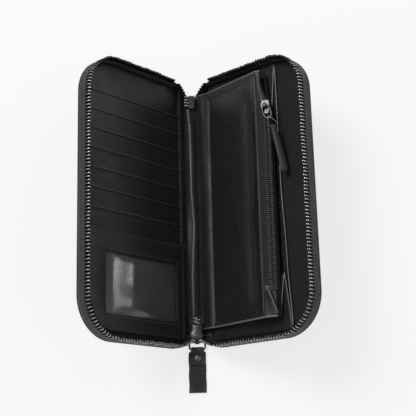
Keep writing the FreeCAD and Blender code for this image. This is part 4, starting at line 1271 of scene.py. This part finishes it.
# ---------------------------------------------------------------- coin pocket
def panel_level(p, v):
    """Height of the front panel: sunk under the root, then a soft belly, a valley and a ridge at the zip."""
    length = ease(v, PANEL_V[0], PANEL_V[0] + 14) * (1 - ease(v, PANEL_V[1] - 18, PANEL_V[1]))
    belly = 1.5 * math.sin(math.pi * min(1.0, p / 44.0)) * length
    valley = 1.15 * hump(p, 46.5 + 0.8 * math.sin(v * 0.05), 5.2) * length
    ridge = 0.75 * hump(p, 54.0, 2.4)
    soft = 0.3 * noise.noise(Vector((p * 0.06, v * 0.035, 31.0)))
    roll = -1.6 * (ease(p, PANEL_LIP - 2.2, PANEL_LIP) ** 2 + 1 - ease(p, 0.5, 6.5))
    return belly - valley + ridge + soft * ease(PANEL_LIP - p, 0, 6) + roll


def coin_front_panel():
    """Front wall of the pocket and the stitches beside its zip."""
    ps = spread(0.5, 46.0, 46) + spread(46.0, PANEL_LIP, 24)[1:]

    def faces(p, v):
        top = panel_level(p, v)
        return top - PANEL_THICK, top

    piece = slab("coin_front_leather", ps, spread(0, 1, 130), lambda p: PANEL_V, faces, on_pocket, INNER,
                 bevel=0.28)
    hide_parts("coin_front_panel")
    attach(piece, "coin_pocket")
    row = stitch_row("coin_edge_stitches", [(PANEL_EDGE - 2.9, -66), (PANEL_EDGE - 2.9, 66)], on_pocket,
                     lambda p, v: panel_level(p, v) + 0.22, THREAD)
    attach(row, "coin_pocket")


def coin_rear():
    """Rear wall of the pocket with its lip under the zip, and the thin cloth bag inside."""
    def across(part, v):
        return 0.6 + (rear_reach(v) - 0.7) * part

    def place(part, v, q):
        return on_pocket(across(part, v), v, q)

    def faces(part, v):
        top = rear_top(across(part, v))
        return top - 0.7, top + 3.6 * ease(part, 0.984, 0.988) * ease(REAR_EDGE - rear_reach(v), 5.0, 1.0)

    parts = spread(0.0, 0.97, 20) + [0.984, 0.988, 1.0]
    rear = slab("coin_rear_leather", parts, spread(0, 1, 90), lambda part: PANEL_V, faces, place, INNER,
                bevel=0.2)
    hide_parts("coin_rear_panel")
    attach(rear, "coin_pocket")
    bag = soften("coin_bag_cloth", "coin_pocket_lining", LINING, 0.08)
    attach(bag, "coin_pocket")


def rear_reach(v):
    """How far out the pocket's rear edge stands: it draws in towards both ends."""
    return along_curve(REAR_CURVE, v)


def pocket_end(name, node, v_start, v_outer, v_spine, proud, stitches):
    """Closing strip at one end of the pocket; its outer edge is a turned, slightly plump fold."""
    sign = 1 if v_outer > 0 else -1
    reach = rear_reach(v_outer)
    slope = math.tan(ZIP_TILT)
    sections, crest = [], []
    for p in spread(0.5, PANEL_LIP, 30) + spread(PANEL_LIP, reach, 6)[1:]:
        edge = v_spine + (v_outer - v_spine) * p / reach
        over = max(0.0, p - PANEL_LIP) * slope
        top = proud - over + 0.12 * noise.noise(Vector((p * 0.1, 3.0, sign)))
        low = rear_top(p) - 0.7
        inner = v_start - sign * 0.6
        wave = 0.25 * math.sin(p * 0.16 + sign)
        ring = [(inner, low), (inner, top), (inner + (edge - inner) * 0.12, top + 0.22),
                (inner + (edge - inner) * 0.5, top + 0.1), (edge - sign * 1.2, top + 0.3),
                (edge - sign * 0.2, top + 0.1), (edge + wave * 0.2, top - 0.8), (edge, low)]
        sections.append([on_pocket(p, v, q) for v, q in ring])
        crest.append(on_pocket(p, edge - sign * 0.45, top + 0.1))
    piece = loft(name, sections, INNER, bevel=0.2)
    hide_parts(node)
    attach(piece, "coin_pocket")
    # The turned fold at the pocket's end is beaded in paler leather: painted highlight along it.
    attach(bead(name + "_edge", crest[1:], 0.75, RIM), "coin_pocket")
    if stitches:
        middle = [(2.0, v_start + (v_spine - v_start) * 0.42),
                  (PANEL_LIP - 1, v_start + (v_outer - v_start) * 0.42)]
        row = stitch_row(name + "_stitches", middle, on_pocket, proud + 0.36, THREAD)
        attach(row, "coin_pocket")


# ---------------------------------------------------------------- coin zip
def coin_tapes():
    """Woven tapes: the front one from under the panel's fold to the coil, the rear one behind it."""
    for name, low_s, high_s in (("front", -1.6, 4.8), ("rear", 6.0, 8.4)):
        stations = []
        for v in spread(COIN_ZIP_V[0], COIN_ZIP_V[1], 90):
            wave = 0.12 * math.sin(v * 0.11) + 0.05 * math.sin(v * 0.43)
            origin = on_zip_face(0, v, wave)
            side = on_zip_face(1, v, wave) - origin
            stations.append((origin, side, on_zip_face(0, v, wave + 1) - origin))
        section = [(low_s, -0.95), (high_s, -0.95), (high_s, -0.45)]
        if name == "front":
            section += [(3.4, -0.42), (2.6, -0.2), (1.4, -0.3)]
        section += [(low_s, -0.5)]
        piece = sweep("coin_%s_tape" % name, stations, section, FLAT_TAPE)
        if name == "front":
            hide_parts("coin_zip_tapes")
        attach(piece, "coin_pocket")


def coil_side(direction):
    """One row of nylon coil: an oval helix whose heads reach the middle of the chain."""
    points = []
    turns = int((COIN_ZIP_V[1] - COIN_ZIP_V[0]) / COIN_PITCH)
    steps = 14
    for k in range(turns * steps + 1):
        turn = 2 * math.pi * k / steps
        v = COIN_ZIP_V[0] + COIN_PITCH * (k / steps + (0.25 if direction > 0 else -0.25))
        v = min(max(v, COIN_ZIP_V[0]), COIN_ZIP_V[1])
        meshed = 1 - ease(v, 60.5, 62.0)
        reach = 1.0 + 0.62 * meshed
        centre = COIN_MIDDLE + direction * (1.45 + 0.35 * (1 - meshed))
        s = centre + reach * math.cos(turn)
        n = 0.32 + 0.78 * math.sin(turn)
        points.append(on_zip_face(s, v, n))
    return points


def coin_coil():
    """Both rows of coil and the thread that sews each one down."""
    up = on_zip_face(0, 0, 1) - on_zip_face(0, 0, 0)
    first_v, last_v = COIN_ZIP_V[0] + 1, COIN_ZIP_V[1] - 1
    for direction, label in ((-1, "front"), (1, "rear")):
        stations = tube_stations(coil_side(direction), Y_AXIS)
        piece = sweep("coin_coil_" + label, stations, circle(0.3, 6), COIL)
        if direction < 0:
            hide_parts("coin_zip_coil")
        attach(piece, "coin_pocket")
        row = []
        for v in spread(first_v, last_v, int((last_v - first_v) / COIN_PITCH)):
            origin = on_zip_face(COIN_MIDDLE + direction * 2.05, v, 1.3)
            ahead = on_zip_face(COIN_MIDDLE + direction * 2.05, v + 1, 1.3) - origin
            row.append(axes_matrix(origin, ahead, up.cross(ahead), up))
        seam = scatter("coin_coil_thread_" + label, thread_template(1.15, 0.42), row, THREAD)
        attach(seam, "coin_pocket")


def zip_end(sign):
    """Leather drawn together at the end of the coin zip: a cone at the top, the bow of a boat below."""
    start_v = COIN_ZIP_V[0] + 3.2 if sign < 0 else COIN_ZIP_V[1] + 0.2
    end_v = SEAM_V + 1.2 if sign < 0 else HEM_V[0] - 1.6
    columns, rows = 16, 22
    sections = []
    for i in range(rows + 1):
        part = i / rows
        v = start_v + (end_v - start_v) * part
        outer = min(8.3, (rear_reach(v) - PANEL_EDGE) / math.cos(ZIP_TILT) - 0.2)
        ridge = 0.6 + (outer - 0.9) * part if sign < 0 else outer * (0.45 + 0.1 * part)
        top = []
        for k in range(columns + 1):
            s = -0.9 + (outer + 0.9) * k / columns
            if sign < 0:
                crest = 1.3 * ease(part, 0, 0.3) * (1 - 0.5 * part)
                height = crest * (ease(s, -0.9, ridge) if s < ridge else 1 - ease(s, ridge, ridge + 2.2))
                height += 0.25 * (1 - k / columns)
            else:
                height = (1.0 + 0.9 * math.sin(math.pi * part)) * hump(s, ridge, 0.35 * outer + 0.4)
            top.append(on_zip_face(s, v, -0.3 + height))
        under = [on_zip_face(outer, v, -1.0), on_zip_face(-0.9, v, -1.0)]
        sections.append(top + under)
    label = "lower" if sign < 0 else "upper"
    # The upper cone takes the paler strip leather: painted highlight on its facet.
    finish = INNER if sign < 0 else GLOSSY
    piece = loft("coin_zip_end_" + label, sections, finish, bevel=0.15)
    if sign < 0:
        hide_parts("coin_zip_ends")
        # The crease is a bead of paler leather: painted highlight along the fold.
        fold = [on_zip_face(0.9 + 6.6 * part, start_v + (end_v - start_v) * part * 0.95, 1.0 - 0.5 * part)
                for part in spread(0, 1, 16)]
        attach(bead("coin_zip_end_crease", fold, 0.5, RIM), "coin_pocket")
    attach(piece, "coin_pocket")


LINK_START, LINK_END = joint_place("coin_link_swing"), joint_place("coin_pull_swing")
LINK_AXIS = Vector(JOINTS["coin_link_swing"]["axis"]).normalized()


def coin_slider():
    """Rounded body of the coin zip's slider."""
    slider = soften("coin_slider_nickel", "coin_slider_body", NICKEL, 0.38, 40)
    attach(slider, "coin_slider")


def coin_link():
    """Oval wire ring from the coin slider to its puller."""
    start, axis = LINK_START, LINK_AXIS
    length = (LINK_END - start).length
    ahead = (LINK_END - start).normalized()
    up = axis.cross(ahead).normalized()
    half_width, count, loop = 2.75, 48, []
    for k in range(count):
        turn = 2 * math.pi * k / count
        bow = math.copysign(abs(math.cos(turn)) ** 0.72, math.cos(turn))
        reach = math.copysign(abs(math.sin(turn)) ** 0.86, math.sin(turn))
        loop.append(start + ahead * length * (0.5 + 0.5 * reach) + axis * half_width * bow)
    link = sweep("coin_link_oval", tube_stations(loop, up, closed=True), circle(0.7, 10, 0.92), NICKEL,
                 closed=True)
    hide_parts("coin_pull_link")
    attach(link, "coin_link")


def coin_prongs():
    """Bent wire that goes round the link and opens into two prongs on the leather puller."""
    pull_dir = (EYE_END - LINK_END).normalized()
    across = (LINK_AXIS - pull_dir * LINK_AXIS.dot(pull_dir)).normalized()
    lift = across.cross(pull_dir)
    shape = []
    for away in spread(-1, 1, 26):
        bow = math.sin(math.pi * away / 2) * (1.7 + abs(away))
        drop = 7.2 * abs(away) ** 1.6 - 1.1
        shape.append(LINK_END + pull_dir * drop + across * bow)
    prongs = sweep("coin_pull_prongs", tube_stations(shape, lift), circle(0.52, 8), NICKEL)
    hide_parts("coin_pull_eye")
    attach(prongs, "coin_puller")


def coin_pull_strip():
    """Leather puller: narrow at its eye, rounded at its end, with a bead of paler leather along each edge as
    painted highlight.
    """
    run = PULL_END - EYE_END
    length = run.length
    pull_dir = run.normalized()
    across = (X_AXIS - pull_dir * pull_dir.x).normalized()
    lift = across.cross(pull_dir)
    thick, sections = 0.8, []
    for part in spread(0, 1, 30):
        sag = 0.3 * math.sin(math.pi * part)
        middle = EYE_END + pull_dir * (length * part) - lift * sag
        rounding = math.sqrt(max(0.12, 1 - max(0.0, (part - 0.93) / 0.09) ** 2))
        half = (2.15 + 0.35 * ease(part, 0.1, 0.8)) * (1 - 0.1 * hump(part, 0.1, 0.12)) * rounding
        ring = [(-half, -thick * 0.5), (-half * 0.86, -thick), (half * 0.86, -thick), (half, -thick * 0.5),
                (half, thick * 0.5), (half * 0.86, thick), (0, thick * 0.82), (-half * 0.86, thick),
                (-half, thick * 0.5)]
        sections.append([middle + across * a + lift * b for a, b in ring])
    # Paler beads along both edges of the puller: painted highlight.
    for label, corner in (("left", 7), ("right", 5)):
        rim = [section[corner] for section in sections[1:-1]]
        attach(bead("coin_pull_rim_" + label, rim, 0.32, RIM), "coin_puller")
    strip = loft("coin_pull_strip", sections, PULLER, bevel=0.0)
    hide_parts("coin_pull_leather")
    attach(strip, "coin_puller")


# ---------------------------------------------------------------- main slider, ring, strap
SLIDER_HALF = [(-92.0, 2.6), (-90.6, 4.0), (-88.6, 4.4), (-85.4, 3.3), (-83.6, 3.1), (-81.9, 2.9)]
CROWN_FOOT, CROWN_START = 8.02, 8.12


def main_slider():
    """Slider body with a domed pear-shaped crown, its two rivets and the bail."""
    body = soften("slider_channel", "slider_body", GUNMETAL, 0.3, 40)
    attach(body, "main_slider")

    def crown_top(y, part):
        dome = 1 - abs(part) ** 2.6
        length = ease(y, -92.0, -90.2) * (1 - ease(y, -83.0, -81.9))
        return CROWN_START + 0.75 * dome * (0.35 + 0.65 * length)

    sections = []
    for y in spread(-91.9, -82.0, 26):
        half = along_curve(SLIDER_HALF, y) - 0.25
        top = [Vector((half * part, y, crown_top(y, part))) for part in spread(-1, 1, 16)]
        sections.append(top + [Vector((half, y, CROWN_FOOT)), Vector((-half, y, CROWN_FOOT))])
    crown = loft("slider_crown", sections, GUNMETAL, bevel=0.2)
    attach(crown, "main_slider")
    dots = [Matrix.Translation((x, -84.2, 8.75)) for x in (-1.25, 1.25)]
    rivets = scatter("slider_rivets", thread_template(0.9, 0.9), dots, NICKEL)
    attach(rivets, "main_slider")
    bail = soften("slider_bail_metal", "slider_bail", GUNMETAL, 0.25, 40)
    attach(bail, "main_slider")


def pull_ring():
    """Rectangular wire ring with rounded corners."""
    half, corner = 5.5, 1.5
    loop = []
    centres = [(half - corner, RING_NEAR_Y - corner, 0), (-(half - corner), RING_NEAR_Y - corner, 90),
               (-(half - corner), RING_FAR_Y + corner, 180), (half - corner, RING_FAR_Y + corner, 270)]
    for x, y, start in centres:
        for k in range(7):
            turn = math.radians(start + 15 * k)
            loop.append(Vector((x + corner * math.cos(turn), y + corner * math.sin(turn), RING_Z)))
    smooth = []
    for a, b in zip(loop, loop[1:] + loop[:1]):
        steps = max(1, int((b - a).length / 0.8))
        smooth += [a.lerp(b, k / steps) for k in range(steps)]
    ring = sweep("ring_wire", tube_stations(smooth, Z_AXIS, closed=True), circle(0.72, 10), GUNMETAL,
                 closed=True)
    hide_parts("pull_ring")
    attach(ring, "ring")


def pull_strap():
    """One strip folded round the ring: long tail below, short riveted tail on top."""
    low, thick, bore = 0.08, 0.92, 0.8
    middle = low + thick / 2
    route = [Vector((0, y, middle)) for y in [STRAP_END_Y, -126] + spread(-123, RING_FAR_Y - 1.5, 16)]
    radius = bore + thick / 2
    for turn in spread(-90, 90, 12):
        angle = math.radians(turn)
        route.append(Vector((0, RING_FAR_Y + radius * math.cos(angle), RING_Z + radius * math.sin(angle))))
    over = RING_Z + radius
    upper = low + thick * 1.5 + 0.06
    tail = [(RING_FAR_Y - 1.2, over - 0.05), (-100.6, over - 0.35), (-101.8, upper + 0.25), (-103.0, upper),
            (-106.0, upper), (STRAP_TAIL_Y, upper + 0.1)]
    route += [Vector((0, y, z)) for y, z in tail]
    sections = []
    for k, point in enumerate(route):
        ahead = route[min(k + 1, len(route) - 1)] - route[max(k - 1, 0)]
        normal = ahead.normalized().cross(X_AXIS)
        neck = ease(point.y, RING_FAR_Y - 2.6, RING_FAR_Y - 0.9)
        wave = 0.14 * math.sin(point.y * 0.55)
        x0 = STRAP_X[0] + (abs(STRAP_X[0]) - STRAP_NECK) * neck + wave
        x1 = STRAP_X[1] - (STRAP_X[1] - STRAP_NECK) * neck + wave * 0.7
        row = [(x0 + 0.12, 0.72), (x0 + 0.5, 1.0), (x0 * 0.4, 0.94), (x1 * 0.4, 0.94), (x1 - 0.5, 1.0),
               (x1 - 0.12, 0.72)]
        ring = row + [(x, -depth) for x, depth in reversed(row)]
        sections.append([point + X_AXIS * x + normal * (thick / 2 * depth) for x, depth in ring])
    strap = loft("strap_band", sections, STRAP, bevel=0.0)
    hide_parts("pull_strap")
    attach(strap, "strap")
    for label, x in (("left", STRAP_X[0] + 1.1), ("right", STRAP_X[1] - 1.1)):
        row = stitch_row("strap_stitches_" + label, [(x, -126.5), (x, -110.5)], as_is, low + thick, THREAD)
        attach(row, "strap")

    sections = []
    base = upper + thick / 2
    for radius_now, height in ((1.6, -0.1), (2.5, 0.0), (2.62, 0.22), (2.3, 0.5), (2.05, 0.55), (1.9, 0.85),
                               (1.4, 1.2), (0.7, 1.38), (0.08, 1.42)):
        sections.append([Vector((x, RIVET_Y + y, base + height)) for x, y in circle(radius_now, 28)])
    rivet = loft("strap_rivet", sections, RIVET, bevel=0.0)
    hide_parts("rivet_cap", "rivet_stud")
    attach(rivet, "strap")


# ---------------------------------------------------------------- studio
KEY_POWER, FILL_POWER, LOW_POWER, WORLD_LIGHT, FLOOR_GLOW = 17.0, 2.0, 2.1, 0.3, 0.735


def floor():
    """Pale floor that glows a little, so that the backdrop stays even."""
    bm = bmesh.new()
    bmesh.ops.create_grid(bm, x_segments=2, y_segments=2, size=3.0)
    for vert in bm.verts:
        vert.co.z = -0.0004
    material, _, shader = surface("pale_floor", Roughness=0.9, Specular_IOR_Level=0.1)
    shader.inputs["Base Color"].default_value = (0.30, 0.30, 0.30, 1)
    shader.inputs["Emission Color"].default_value = (1.0, 1.0, 1.0, 1)
    shader.inputs["Emission Strength"].default_value = FLOOR_GLOW
    plane = make_object("floor", bm, material)


def area_light(name, place, target, size, power, colour=(1, 1, 1)):
    """Round soft light aimed at a target."""
    data = bpy.data.lights.new(name, "AREA")
    data.shape = "DISK"
    data.size = size
    data.energy = power
    data.color = colour
    lamp = bpy.data.objects.new(name, data)
    lamp.location = place
    lamp.rotation_euler = (Vector(target) - Vector(place)).to_track_quat("-Z", "Y").to_euler()
    bpy.context.scene.collection.objects.link(lamp)


def studio():
    """Floor, three soft lights and a white world."""
    floor()
    middle = (0.0, 0.0, 0.03)
    area_light("window_light", (-0.9, 0.75, 1.5), middle, 0.9, KEY_POWER, (1.0, 0.985, 0.97))
    area_light("fill_light", (1.3, -0.6, 1.2), middle, 1.2, FILL_POWER, (0.95, 0.97, 1.0))
    area_light("low_light", (1.42, 0.36, 0.46), (-0.04, 0.0, 0.04), 0.42, LOW_POWER)
    world = bpy.data.worlds.new("studio")
    bpy.context.scene.world = world
    world.use_nodes = True
    world.node_tree.nodes["Background"].inputs[0].default_value = (1.0, 1.0, 1.0, 1)
    world.node_tree.nodes["Background"].inputs[1].default_value = WORLD_LIGHT
    bpy.context.scene.view_settings.view_transform = "Standard"


def camera():
    """Nearly overhead, from the strap's end, turned a little on its own axis."""
    elevation, roll = math.radians(74.71), math.radians(-1.58)
    distance, target = 0.69577, Vector((0.01013, -0.0041, 0.0312))
    back = Vector((0, -math.cos(elevation), math.sin(elevation)))
    up = back.cross(X_AXIS)
    right = X_AXIS * math.cos(roll) + up * math.sin(roll)
    rolled_up = up * math.cos(roll) - X_AXIS * math.sin(roll)
    data = bpy.data.cameras.new("camera")
    data.sensor_width = 36.0
    data.lens = 86.6
    eye = bpy.data.objects.new("camera", data)
    eye.matrix_world = axes_matrix(target + back * distance, right, rolled_up, back)
    bpy.context.scene.collection.objects.link(eye)
    bpy.context.scene.camera = eye


# ---------------------------------------------------------------- the whole wallet
camera()
studio()
for cover_side in (FRONT, BACK):
    outer_leather(cover_side)
    zip_tape(cover_side)
    zip_teeth(cover_side)
end_teeth()
covers_inside()
card_backing()
card_slots()
window_surround()
window_film()
card_binding()
spine_strip()
leaf_panel()
gusset(-1)
gusset(1)
pocket_root()
coin_front_panel()
coin_rear()
pocket_end("coin_hem_leather", "coin_top_hem", PANEL_V[1], HEM_V[0], HEM_V[1], 0.15, True)
pocket_end("coin_seam_leather", "coin_bottom_seam", PANEL_V[0], SEAM_V, SEAM_V, 0.1, False)
coin_tapes()
coin_coil()
zip_end(-1)
zip_end(1)
coin_slider()
coin_link()
coin_prongs()
coin_pull_strip()
main_slider()
pull_ring()
pull_strap()
